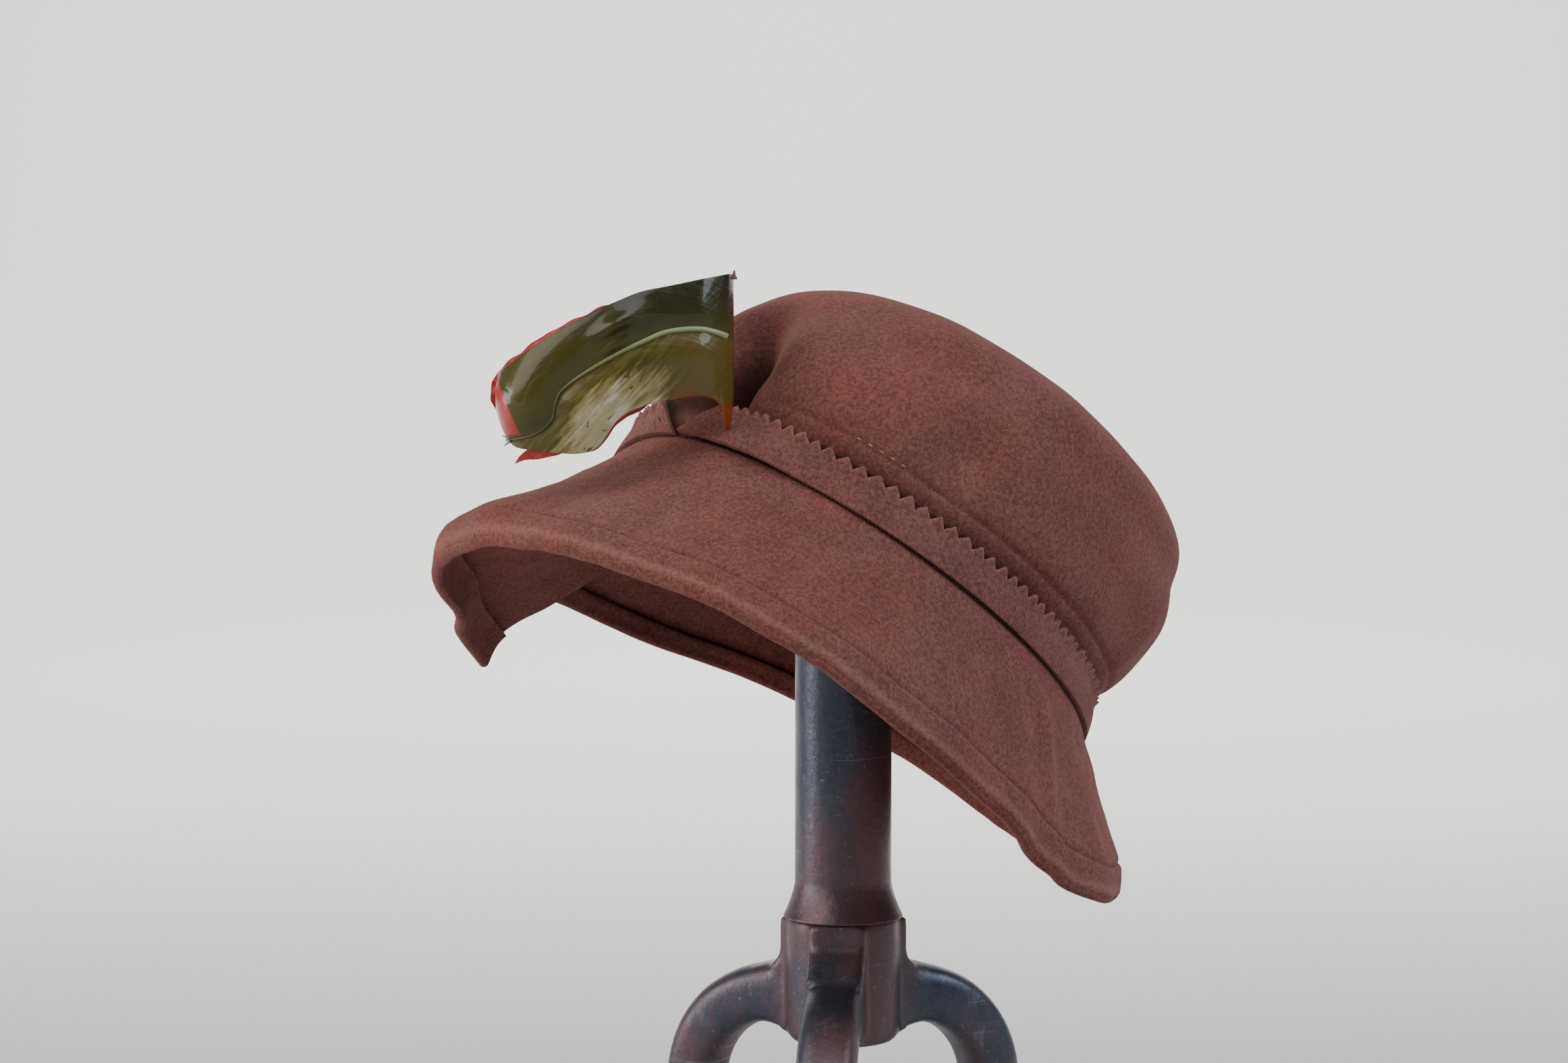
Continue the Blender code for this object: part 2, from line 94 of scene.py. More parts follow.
def bump(value: np.ndarray, middle: float, half: float) -> np.ndarray:
    """A round bump of height 1 at the middle, a third of that at half a width away."""
    return np.exp(-((value - middle) / half) ** 2)


def turn_between(angle: np.ndarray, middle: float) -> np.ndarray:
    """Degrees from the middle to the angle, the short way round."""
    return (np.degrees(angle) - middle + 180.0) % 360.0 - 180.0


def waves(places: tuple[np.ndarray, ...], seed: int, count: int, low: float, high: float) -> np.ndarray:
    """Soft irregular waves over a surface or through space, between about -1 and 1.

    Args:
        places: Two or three coordinates, in metres.
        seed: Which waves.
        count: How many are added up.
        low: Shortest wave, in metres.
        high: Longest wave, in metres.

    Returns:
        The height of the waves at each point.
    """
    dice = np.random.default_rng(seed)
    total = np.zeros(np.broadcast(*places).shape)
    for _ in range(count):
        length, phase, way = dice.uniform(low, high), dice.uniform(0.0, 2.0 * pi), dice.normal(size=len(places))
        way /= np.linalg.norm(way)
        total += np.sin(2.0 * pi * sum(place * part for place, part in zip(places, way)) / length + phase)
    return total / (0.9 * count ** 0.5 * 1.5)


class Shop:
    """The bench: starts, shapes and finishes pieces with Blender's own tools."""

    @staticmethod
    def clear() -> None:
        """Deselect everything."""
        if bpy.context.object and bpy.context.object.mode != "OBJECT":
            bpy.ops.object.mode_set(mode="OBJECT")
        bpy.ops.object.select_all(action="DESELECT")

    @staticmethod
    def grid(name: str, columns: int, rows: int) -> bpy.types.Object:
        """Start a sheet: a unit grid with a UV map.

        Args:
            name: The piece's name.
            columns: Faces across.
            rows: Faces along.

        Returns:
            The new object.
        """
        Shop.clear()
        bpy.ops.mesh.primitive_grid_add(x_subdivisions=columns, y_subdivisions=rows, size=1.0)
        piece = bpy.context.object
        piece.name = piece.data.name = name
        return piece

    @staticmethod
    def points(piece: bpy.types.Object) -> np.ndarray:
        """The places of all the points of a piece."""
        flat = np.empty(len(piece.data.vertices) * 3, np.float32)
        piece.data.vertices.foreach_get("co", flat)
        return flat.reshape(-1, 3).astype(float)

    @staticmethod
    def shares(piece: bpy.types.Object) -> tuple[np.ndarray, np.ndarray]:
        """Where each point of a unit grid lies: shares across and along."""
        flat = Shop.points(piece)
        return flat[:, 0] + 0.5, flat[:, 1] + 0.5

    @staticmethod
    def store(piece: bpy.types.Object, name: str, values: np.ndarray) -> None:
        """Store a value at each point of a piece, in an attribute of that name."""
        layer = piece.data.attributes.new(name, "FLOAT", "POINT")
        layer.data.foreach_set("value", values.astype(np.float32))

    @staticmethod
    def put(piece: bpy.types.Object, points: np.ndarray) -> None:
        """Move every point of a piece."""
        piece.data.vertices.foreach_set("co", points.astype(np.float32).ravel())
        piece.data.update()

    @staticmethod
    def edit(piece: bpy.types.Object) -> None:
        """Open one piece in edit mode with all of it selected."""
        Shop.clear()
        piece.select_set(True)
        bpy.context.view_layer.objects.active = piece
        bpy.ops.object.mode_set(mode="EDIT")
        bpy.ops.mesh.select_all(action="SELECT")

    @staticmethod
    def merge(piece: bpy.types.Object, distance: float = 1e-6) -> None:
        """Join the points that lie on each other."""
        Shop.edit(piece)
        bpy.ops.mesh.remove_doubles(threshold=distance)
        bpy.ops.object.mode_set(mode="OBJECT")

    @staticmethod
    def paint(piece: bpy.types.Object, name: str, shade: Callable[[np.ndarray, np.ndarray], np.ndarray]) -> None:
        """Store a value at each point, worked out from its place on the piece's UV map.

        Args:
            piece: The piece, with its wall.
            name: The attribute's name.
            shade: Gives the value from the two UV coordinates.
        """
        mesh = piece.data
        uv, corner = np.empty(len(mesh.loops) * 2, np.float32), np.empty(len(mesh.loops), np.int32)
        mesh.uv_layers.active.uv.foreach_get("vector", uv)
        mesh.loops.foreach_get("vertex_index", corner)
        spots = np.zeros((len(mesh.vertices), 2))
        spots[corner] = uv.reshape(-1, 2)
        Shop.store(piece, name, shade(spots[:, 0], spots[:, 1]))

    @staticmethod
    def apply(piece: bpy.types.Object) -> None:
        """Apply the piece's modifiers in order, and its place."""
        Shop.clear()
        piece.select_set(True)
        bpy.context.view_layer.objects.active = piece
        for modifier in list(piece.modifiers):
            bpy.ops.object.modifier_apply(modifier=modifier.name)
        bpy.ops.object.transform_apply(location=True, rotation=True, scale=True)

    @staticmethod
    def wall(piece: bpy.types.Object, thickness: float, round_edge: float = 0.0) -> None:
        """Give a sheet its thickness, centred, and round its rim."""
        solid = piece.modifiers.new("Wall", "SOLIDIFY")
        solid.thickness, solid.offset, solid.use_even_offset = thickness, 0.0, False
        if round_edge:
            bevel = piece.modifiers.new("Rim", "BEVEL")
            bevel.width, bevel.segments, bevel.angle_limit = round_edge, 2, radians(60)
            bevel.use_clamp_overlap = True
        Shop.apply(piece)

    @staticmethod
    def finish(piece: bpy.types.Object, material: bpy.types.Material, slot: str, *nodes: str,
               sharp: float = 50.0) -> bpy.types.Object:
        """Dress a finished piece and put it on the part's body.

        Args:
            piece: The piece, with its modifiers still on it.
            material: Its finish.
            slot: The record's slot for that finish, or nothing; not used.
            nodes: The plain solids that it stands for.
            sharp: Edges sharper than this many degrees stay sharp.

        Returns:
            The same piece.
        """
        Shop.apply(piece)
        piece.data.materials.clear()
        piece.data.materials.append(material)
        bpy.ops.object.shade_smooth_by_angle(angle=radians(sharp))
        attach(piece, BODY)
        if nodes:
            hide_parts(*nodes)
        log.info("piece %s: %d faces", piece.name, len(piece.data.polygons))
        return piece


# Finishes

class Nodes:
    """A short way to wire a material."""

    def __init__(self, name: str) -> None:
        """Start a material with an empty shader."""
        self.material = bpy.data.materials.new(name)
        self.material.use_nodes = True
        self.tree = self.material.node_tree
        self.shader = self.tree.nodes["Principled BSDF"]
        self.point = self.node("ShaderNodeTexCoord").outputs["Object"]
        self.uv = self.node("ShaderNodeTexCoord").outputs["UV"]

    def node(self, kind: str, **values: object) -> bpy.types.Node:
        """Add a node and set its properties and named inputs.

        Args:
            kind: Blender's name for the node.
            values: Properties, or inputs by name with _ for a space.

        Returns:
            The node.
        """
        made = self.tree.nodes.new(kind)
        for key, value in values.items():
            if hasattr(made, key):
                setattr(made, key, value)
            else:
                socket = made.inputs[key.replace("_", " ")]
                if isinstance(value, bpy.types.NodeSocket):
                    self.tree.links.new(value, socket)
                else:
                    socket.default_value = value
        return made

    def link(self, out: bpy.types.NodeSocket, to: bpy.types.NodeSocket) -> None:
        """Wire one socket to another."""
        self.tree.links.new(out, to)

    def noise(self, scale: float, detail: float = 3.0, rough: float = 0.55, where: bpy.types.NodeSocket | None = None,
              stretch: tuple[float, float, float] | None = None) -> bpy.types.NodeSocket:
        """Noise over the piece, as a factor.

        Args:
            scale: Waves in a metre.
            detail: How many finer layers.
            rough: How strong those are.
            where: The coordinates, Object by default.
            stretch: Scales along the three axes.

        Returns:
            The factor's socket.
        """
        where = where or self.point
        if stretch:
            move = self.node("ShaderNodeMapping")
            move.inputs["Scale"].default_value = stretch
            self.link(where, move.inputs["Vector"])
            where = move.outputs["Vector"]
        made = self.node("ShaderNodeTexNoise", Scale=scale, Detail=detail, Roughness=rough)
        self.link(where, made.inputs["Vector"])
        return made.outputs["Fac"]

    def ramp(self, factor: bpy.types.NodeSocket, stops: tuple[tuple[float, tuple[float, float, float]], ...]
             ) -> bpy.types.NodeSocket:
        """Colours by a factor.

        Args:
            factor: 0 to 1.
            stops: Places and colours.

        Returns:
            The colour's socket.
        """
        made = self.node("ShaderNodeValToRGB")
        band = made.color_ramp
        while len(band.elements) < len(stops):
            band.elements.new(0.5)
        for element, (place, colour) in zip(band.elements, stops):
            element.position, element.color = place, (*colour, 1.0)
        self.link(factor, made.inputs["Fac"])
        return made.outputs["Color"]

    def math(self, how: str, first: object, second: object = 0.0, third: object = 0.0, clamp: bool = False
             ) -> bpy.types.NodeSocket:
        """Arithmetic on factors.

        Args:
            how: Blender's name for the operation.
            first: A socket or a number.
            second: A socket or a number.
            third: A socket or a number.
            clamp: Keep the result in 0 to 1.

        Returns:
            The result's socket.
        """
        made = self.node("ShaderNodeMath", operation=how, use_clamp=clamp)
        for socket, value in zip(made.inputs, (first, second, third)):
            if isinstance(value, bpy.types.NodeSocket):
                self.link(value, socket)
            else:
                socket.default_value = value
        return made.outputs[0]

    def span(self, factor: bpy.types.NodeSocket, low: float, high: float, out_low: float = 0.0,
             out_high: float = 1.0) -> bpy.types.NodeSocket:
        """Stretch a factor from low..high to out_low..out_high, smoothly and kept inside."""
        made = self.node("ShaderNodeMapRange", interpolation_type="SMOOTHSTEP")
        for key, value in (("From Min", low), ("From Max", high), ("To Min", out_low), ("To Max", out_high)):
            made.inputs[key].default_value = value
        self.link(factor, made.inputs["Value"])
        return made.outputs["Result"]

    def mix(self, factor: object, first: object, second: object, how: str = "MIX") -> bpy.types.NodeSocket:
        """Mix two colours.

        Args:
            factor: A socket or a number.
            first: A socket or a colour.
            second: A socket or a colour.
            how: Blender's name for the blend.

        Returns:
            The colour's socket.
        """
        made = self.node("ShaderNodeMix", data_type="RGBA", blend_type=how)
        for place, value in ((0, factor), (6, first), (7, second)):
            if isinstance(value, bpy.types.NodeSocket):
                self.link(value, made.inputs[place])
            else:
                made.inputs[place].default_value = value if place == 0 else (*value, 1.0)
        return made.outputs[2]

    def grey(self, factor: bpy.types.NodeSocket) -> bpy.types.NodeSocket:
        """A factor as a grey colour."""
        made = self.node("ShaderNodeCombineColor")
        for place in range(3):
            self.link(factor, made.inputs[place])
        return made.outputs[0]

    def relief(self, *layers: tuple[bpy.types.NodeSocket, float]) -> None:
        """Raise the surface by height factors, each with its depth in metres, and wire it to the shader."""
        normal = None
        for height, depth in layers:
            made = self.node("ShaderNodeBump", Strength=1.0, Distance=depth)
            self.link(height, made.inputs["Height"])
            if normal:
                self.link(normal, made.inputs["Normal"])
            normal = made.outputs["Normal"]
        self.link(normal, self.shader.inputs["Normal"])

    def set(self, **values: float | tuple[float, ...]) -> None:
        """Set the shader's own sockets, by name with _ for a space."""
        for key, value in values.items():
            self.shader.inputs[key.replace("_", " ")].default_value = value


@dataclass(frozen=True)
class FeltFinish:
    """Matted wool felt: two mixed tones in clouds, a mottle of matted fibres, a short nap and a soft sheen.

    A piece can have two attributes: deep is painted shade, which darkens the felt nearly to black in creases, in gaps
    and in the leaf's shadow, and rim makes it pale and fuzzy along a cut or folded edge, partly from pale loose fibres
    and partly as a painted highlight where the edge catches the light.
    """

    name: str
    red: tuple[float, float, float] = (0.192, 0.064, 0.055)
    brown: tuple[float, float, float] = (0.180, 0.071, 0.061)
    dark: float = 0.64
    pale: float = 1.42
    nap: float = 0.00012

    def material(self) -> bpy.types.Material:
        """Make the material.

        Returns:
            The material.
        """
        n = Nodes(self.name)
        ground = n.mix(n.span(n.noise(22.0, 3.0, 0.6), 0.38, 0.62), self.red, self.brown)
        cloud = n.noise(60.0, 3.0, 0.55)
        matted = n.noise(850.0, 4.0, 0.8)
        hairs = [n.noise(1500.0, 2.0, 0.6, stretch=stretch)
                 for stretch in ((1.0, 0.30, 0.5), (0.3, 1.0, 0.8), (0.7, 0.6, 0.22))]
        lying = n.math("MAXIMUM", n.math("MAXIMUM", hairs[0], hairs[1]), hairs[2])
        value = n.math("ADD", n.math("MULTIPLY", cloud, 0.16), n.math("MULTIPLY", matted, 0.84))
        tone = n.span(value, 0.36, 0.64, self.dark, self.pale)
        colour = n.mix(1.0, ground, n.grey(tone), "MULTIPLY")
        pale = tuple(2.1 * channel for channel in self.brown)
        colour = n.mix(n.span(lying, 0.62, 0.80, 0.0, 0.40), colour, pale)
        # Rim: paler, mottled felt along cut and folded edges, partly pale loose fibres and partly a painted highlight.
        rim = n.node("ShaderNodeAttribute", attribute_name="rim").outputs["Fac"]
        colour = n.mix(n.math("MULTIPLY", rim, n.span(matted, 0.30, 0.60, 0.5, 1.0)), colour, (0.40, 0.185, 0.150))
        # Deep: painted shade, a colour nearly black that the felt takes where a piece marks it as lying in shade.
        deep = n.node("ShaderNodeAttribute", attribute_name="deep").outputs["Fac"]
        colour = n.mix(deep, colour, tuple(0.03 * channel for channel in self.brown))
        n.link(colour, n.shader.inputs["Base Color"])
        n.relief((n.noise(230.0, 3.0, 0.6), 0.00022), (matted, 0.00020), (lying, self.nap))
        n.set(Roughness=0.95, Sheen_Weight=0.16, Sheen_Roughness=0.5, Sheen_Tint=(0.95, 0.60, 0.50, 1.0),
              Specular_IOR_Level=0.06)
        return n.material


@dataclass(frozen=True)
class FibreFinish:
    """A single wool fibre, paler than the matted felt."""

    name: str
    colour: tuple[float, float, float] = (0.36, 0.155, 0.125)

    def material(self) -> bpy.types.Material:
        """Make the material: the tone changes slowly over the hat.

        Returns:
            The material.
        """
        n = Nodes(self.name)
        tone = n.span(n.noise(60.0, 3.0, 0.6), 0.35, 0.65, 0.6, 1.3)
        n.link(n.mix(1.0, self.colour, n.grey(tone), "MULTIPLY"), n.shader.inputs["Base Color"])
        n.set(Roughness=0.8, Specular_IOR_Level=0.2, Sheen_Weight=0.2)
        return n.material


@dataclass(frozen=True)
class CordFinish:
    """A dark twisted cord."""

    name: str
    strands: float = 420.0

    def material(self) -> bpy.types.Material:
        """Make the material: the UV map runs round the hat and round the cord.

        Returns:
            The material.
        """
        n = Nodes(self.name)
        split = n.node("ShaderNodeSeparateXYZ")
        n.link(n.uv, split.inputs[0])
        phase = n.math("ADD", n.math("MULTIPLY", split.outputs["X"], self.strands),
                       n.math("MULTIPLY", split.outputs["Y"], 2.0))
        twist = n.math("SINE", n.math("MULTIPLY", phase, 2.0 * pi))
        # Painted shade: the colour follows the twist, darker down between the strands, where the relief is low, and
        # paler on their crowns.
        colour = n.ramp(n.math("MULTIPLY_ADD", twist, 0.5, 0.5),
                        ((0.2, (0.012, 0.005, 0.004)), (0.9, (0.062, 0.032, 0.032))))
        n.link(colour, n.shader.inputs["Base Color"])
        n.relief((twist, 0.00012))
        n.set(Roughness=0.7, Specular_IOR_Level=0.25)
        return n.material


@dataclass(frozen=True)
class IronFinish:
    """Cast iron with a dark patina: blue-grey and brown clouds, pale wear, specks and fine scratches."""

    name: str

    def material(self) -> bpy.types.Material:
        """Make the material.

        Returns:
            The material.
        """
        n = Nodes(self.name)
        cloud = n.noise(17.0, 4.0, 0.55, stretch=(1.0, 1.0, 0.5))
        grain = n.noise(420.0, 4.0, 0.65)
        both = n.math("ADD", n.math("MULTIPLY", cloud, 0.82), n.math("MULTIPLY", grain, 0.18))
        colour = n.ramp(both, ((0.36, (0.040, 0.050, 0.076)), (0.45, (0.070, 0.076, 0.104)),
                               (0.51, (0.126, 0.080, 0.094)), (0.60, (0.170, 0.090, 0.080)),
                               (0.70, (0.220, 0.170, 0.150))))
        worn = n.noise(95.0, 5.0, 0.7, stretch=(1.0, 1.0, 0.4))
        colour = n.mix(n.span(worn, 0.58, 0.74, 0.0, 0.40), colour, (0.30, 0.29, 0.29))
        pits = n.noise(700.0, 2.0, 0.5)
        colour = n.mix(n.span(pits, 0.67, 0.74, 0.0, 0.6), colour, (0.30, 0.24, 0.19))
        scratch = n.noise(160.0, 2.0, 0.4, stretch=(0.12, 0.12, 6.0))
        colour = n.mix(n.span(scratch, 0.70, 0.76, 0.0, 0.35), colour, (0.34, 0.34, 0.36))
        n.link(colour, n.shader.inputs["Base Color"])
        uneven = n.math("ADD", n.math("MULTIPLY", cloud, 0.5), n.math("MULTIPLY", worn, 0.5))
        n.link(n.span(uneven, 0.38, 0.62, 0.30, 0.52), n.shader.inputs["Roughness"])
        n.relief((cloud, 0.0010), (worn, 0.0002), (grain, 0.00016))
        n.set(Metallic=0.55, Specular_IOR_Level=0.5)
        return n.material


# Hat

@dataclass(frozen=True)
class HatForm:
    """The hat's own frame: its ring, its droop and where it sits on the stand."""

    half_width: float = 0.0857
    half_length: float = 0.0977
    stand_x: float = 0.0109
    stand_y: float = 0.0137
    offset: float = 0.0029
    seat_height: float = 0.2104
    yaw: float = -30.0
    lean: float = 16.7
    roll: float = 33.1
    dip: float = 0.0085
    dip_angle: float = -64.0
    dip_spread: float = 27.0
    crown_height: float = 0.0882

    def ring(self, angle: np.ndarray) -> np.ndarray:
        """Distance from the hat's axis to its oval ring."""
        return 1.0 / np.sqrt((np.sin(angle) / self.half_width) ** 2 + (np.cos(angle) / self.half_length) ** 2)

    def droop(self, angle: np.ndarray) -> np.ndarray:
        """Height of the seam over the ring's plane."""
        return -self.dip * bump(turn_between(angle, self.dip_angle), 0.0, self.dip_spread)

    def point(self, angle: np.ndarray, reach: np.ndarray, height: np.ndarray) -> np.ndarray:
        """Points of the hat's frame from angle, distance from the axis and height over the seam."""
        fade = 1.0 - np.clip(height / self.crown_height, 0.0, 1.0) ** 0.7
        return np.stack([reach * np.sin(angle), -reach * np.cos(angle), height + self.droop(angle) * fade], -1)

    def seat(self) -> Matrix:
        """The hat's frame in the part's frame."""
        turned = Euler((radians(-self.lean), radians(self.roll), radians(self.yaw)), "ZXY").to_matrix().to_4x4()
        return Matrix.Translation((self.stand_x + self.offset, self.stand_y, self.seat_height)) @ turned

    def place(self, points: np.ndarray) -> np.ndarray:
        """Points of the hat's frame in the part's frame."""
        seat = np.array(self.seat())
        return points @ seat[:3, :3].T + seat[:3, 3]


@dataclass
class Crown:
    """The soft crown: a puffed shell with a tuck above the band, dents and folds.

    The profile's rows hold height as a share of the crown's, and the wall's reach as shares of the ring's, first
    where it stands upright and then where it sags. The dents' rows hold angle, height, depth, half width in degrees,
    half height and lean. The creases are rows of spots, and so is the painted shade: the leaf's shadow painted on the
    felt beside it and down in the crease by it.
    """

    form: HatForm
    felt: bpy.types.Material
    inset: float = 0.0005
    sag_angle: float = 120.0
    profile: Rows = (
        (0.003, 0.994, 0.994), (0.075, 0.987, 0.970), (0.150, 0.985, 0.944), (0.225, 1.003, 0.985),
        (0.330, 1.012, 1.018), (0.490, 0.970, 1.028), (0.640, 0.875, 1.004), (0.790, 0.768, 0.966),
        (0.900, 0.600, 0.765), (0.970, 0.370, 0.410), (1.000, 0.000, 0.000))
    dents: Rows = (
        (-18.5, 0.40, 0.130, 6.5, 0.21, -22.0), (-36.0, 0.66, -0.045, 13.0, 0.20, 0.0),
        (30.5, 0.42, 0.025, 7.0, 0.18, 12.0), (62.0, 0.48, 0.035, 22.0, 0.15, 0.0))
    creases: Rows = (
        (-27.0, 0.55, 7.0, 0.13, -0.0035), (30.0, 0.42, 5.0, 0.17, 0.0026), (102.5, 0.33, 4.0, 0.12, -0.0012),
        (92.0, 0.34, 6.0, 0.12, 0.0010), (80.0, 0.70, 18.0, 0.14, 0.0024), (108.0, 0.53, 18.0, 0.14, -0.0034))
    # Painted shade: spots that darken the felt where the leaf casts its shadow on the puff beside it and down in the
    # crease by it.
    painted_shadows: Rows = ((-25.0, 0.50, 8.0, 0.20, 0.55), (-18.5, 0.27, 6.5, 0.13, 0.97))
    slit_depth: float = 0.0050
    tuck_share: float = 0.237
    tuck_depth: float = 0.0005
    columns: int = 300
    rows: int = 110

    def outside(self, angle: np.ndarray, share: np.ndarray, inset: float = 0.0, detail: bool = True) -> np.ndarray:
        """Points of the crown's outside.

        Args:
            angle: Angles round the hat.
            share: Shares of the way from the ring to the top.
            inset: How far inside the outside.
            detail: With its folds, or just its main form.

        Returns:
            Points of the hat's frame.
        """
        height, upright, sagging = np.moveaxis(smooth_rows(self.profile, share), -1, 0)
        towards = 0.5 + 0.5 * np.cos(angle - radians(self.sag_angle))
        reach = (upright + (sagging - upright) * towards) * self.form.ring(angle)
        pushed = np.zeros_like(height)
        for at, middle, deep, around, up, lean in self.dents:
            aside = turn_between(angle - np.radians(lean * (height - middle)), at)
            pushed += self.form.crown_height * deep * np.exp(-(aside / around) ** 2 - ((height - middle) / up) ** 2)
        if detail:
            pushed += self.folds(angle, height)
        edge = self.inset + inset + pushed
        reach = np.maximum(reach - edge * np.minimum(1.0, reach / (0.2 * self.form.half_width)), 0.0)
        return self.form.point(angle, reach, height * self.form.crown_height - inset * height ** 2)

    def folds(self, angle: np.ndarray, height: np.ndarray) -> np.ndarray:
        """How far the small folds push the crown in, by angle and share of its height."""
        puffed = ramp(height, 0.24, 0.40)
        reach, rise = self.form.half_length, height * self.form.crown_height
        plain = 1.0 - bump(turn_between(angle, -18.0), 0.0, 11.0)
        tuck = self.tuck_depth * bump(height, self.tuck_share, 0.010) * plain
        lap = -0.0004 * ramp(height, self.tuck_share, self.tuck_share + 0.02) * (1.0 - ramp(height, 0.27, 0.40)) * plain
        slit = self.slit_depth * self.slit(angle, height, 2.2)
        creased = sum(self.spots(angle, height, self.creases))
        places = (reach * np.sin(angle), reach * np.cos(angle), rise)
        soft = 0.0007 * waves(places, 5, 12, 0.025, 0.075) * puffed * (1.0 - ramp(height, 0.9, 1.0))
        return tuck + lap + slit + creased + soft

    @staticmethod
    def spots(angle: np.ndarray, height: np.ndarray, table: Rows) -> list[np.ndarray]:
        """Round spots from rows of angle, height, half width in degrees, half height and value in the middle."""
        return [value * bump(turn_between(angle, at), 0.0, around) * bump(height, middle, up)
                for at, middle, around, up, value in table]

    def slit(self, angle: np.ndarray, height: np.ndarray, half: float) -> np.ndarray:
        """The sharp crease by the leaf: 1 along its bottom, fading over half a width in degrees and at its ends."""
        aside = turn_between(angle, -16.5) + 21.0 * (height - 0.194)
        return bump(aside, 0.0, half) * ramp(height, 0.10, 0.20) * (1.0 - ramp(height, 0.30, 0.66))

    def shade(self, angle: np.ndarray, height: np.ndarray) -> np.ndarray:
        """How dark the felt lies in the crease, between the parted ends of the band and in the notches of its edge."""
        # Painted shade: the felt is darkened along the crease by the leaf, in the V between the band's parted ends, in
        # the notches between its teeth and in the leaf's shadow.
        up = height * self.form.crown_height / 0.014
        left, right = turn_between(angle, -24.0) + 14.0 * up, turn_between(angle, -21.6) - 6.0 * up
        low = 1.0 - ramp(height, 0.18, 0.21)
        inside = low * ramp(left, -1.5, 0.5) * ramp(right, 1.5, -0.5)
        between = inside * (0.45 + 0.45 * ramp(height, 0.09, 0.15)
                            + 0.5 * np.maximum(bump(left, 0.0, 2.6), bump(right, 0.0, 2.2)))
        notch_shade = 0.80 * (1.0 - ramp(height, 0.156, 0.176)) * ramp(right, -1.0, 1.0)
        dark = [self.slit(angle, height, 5.5), between, notch_shade, *self.spots(angle, height, self.painted_shadows)]
        return 0.95 * np.clip(np.maximum.reduce(dark), 0.0, 1.0)

    def reach_at(self, angle: np.ndarray, height: np.ndarray) -> np.ndarray:
        """How far the crown's wall reaches from the axis at a height over the seam, low on the wall."""
        shares = np.linspace(0.0, 0.5, 200)
        heights = smooth_rows(self.profile, shares)[:, 0] * self.form.crown_height
        points = self.outside(angle, np.interp(height, heights, shares), detail=False)
        return np.hypot(points[..., 0], points[..., 1])

    def build(self) -> bpy.types.Object:
        """Make the crown."""
        piece = Shop.grid("felt_crown", self.columns, self.rows)
        across, along = Shop.shares(piece)
        Shop.put(piece, self.form.place(self.outside(2.0 * pi * across, along, 0.5 * FELT)))
        Shop.merge(piece)
        Shop.wall(piece, FELT, 0.0006)
        # Painted shade, stored in the deep attribute for the felt's finish.
        Shop.paint(piece, "deep", lambda u, v: self.shade(2.0 * pi * u, smooth_rows(self.profile, v)[:, 0]))
        Shop.finish(piece, self.felt, "brick_felt", "crown")
        return piece


@dataclass
class Band:
    """The felt band round the crown's foot, with a pinked upper edge; its cut ends part in a V."""

    form: HatForm
    crown: Crown
    felt: bpy.types.Material
    height: float = 0.0140
    ease: float = 0.0003
    bow: float = 0.0006
    pitch: float = 0.0054
    tooth: float = 0.0031
    end: float = -21.6
    parting: float = 2.4
    raised: float = 16.0
    slant: float = 6.0
    back_slant: float = 14.0
    slant_run: float = 0.083
    settle: float = 14.0
    foot: float = 0.0007
    per_tooth: int = 10
    rows: int = 14

    def surface(self, across: np.ndarray, along: np.ndarray, teeth: int) -> np.ndarray:
        """Points of the band's middle."""
        sweep = 360.0 - self.parting
        front = np.clip(1.0 - across / self.slant_run, 0.0, 1.0)
        back = np.clip(1.0 - (1.0 - across) / self.slant_run, 0.0, 1.0)
        turn = sweep * across + along * (self.slant * front - self.back_slant * back)
        valley = np.abs((across * teeth) % 1.0 * 2.0 - 1.0)
        number = np.floor(across * teeth + 0.5)
        uneven = 1.0 + 0.16 * np.sin(number * 2.4) + 0.10 * np.sin(number * 5.1 + 1.0)
        depth = self.tooth * (1.0 - valley) * uneven
        height = self.foot + (self.height - depth) * along
        angle = np.radians(self.end + turn)
        over = np.clip((self.raised - turn) / self.settle + 1.15, 0.0, 1.0)
        layer = (FELT + CLEARANCE) * over ** 2 * (3.0 - 2.0 * over)
        reach = self.crown.reach_at(angle, height) + CLEARANCE + self.ease + 0.5 * FELT + layer
        lift = 0.0005 * ramp(along, 0.60, 1.0) * (1.8 + np.sin(number * 3.7)) * (0.4 + 0.6 * valley)
        curl = self.bow * np.sin(pi * along) + lift
        return self.form.point(angle, reach + curl, height)

    def build(self) -> bpy.types.Object:
        """Make the band."""
        middle = 0.5 * (self.form.half_width + self.form.half_length)
        length = radians(360.0 - self.parting) * middle
        teeth = round(length / self.pitch)
        piece = Shop.grid("felt_band", self.per_tooth * teeth, self.rows)
        Shop.put(piece, self.form.place(self.surface(*Shop.shares(piece), teeth)))
        Shop.wall(piece, FELT, 0.0004)
        # The pinked edge is painted paler, partly pale cut fibres and partly a painted highlight on the teeth.
        Shop.paint(piece, "rim", lambda across, along: 0.5 * ramp(along, 0.88, 1.0))
        Shop.finish(piece, self.felt, "band_felt", "hat_band", sharp=40.0)
        return piece


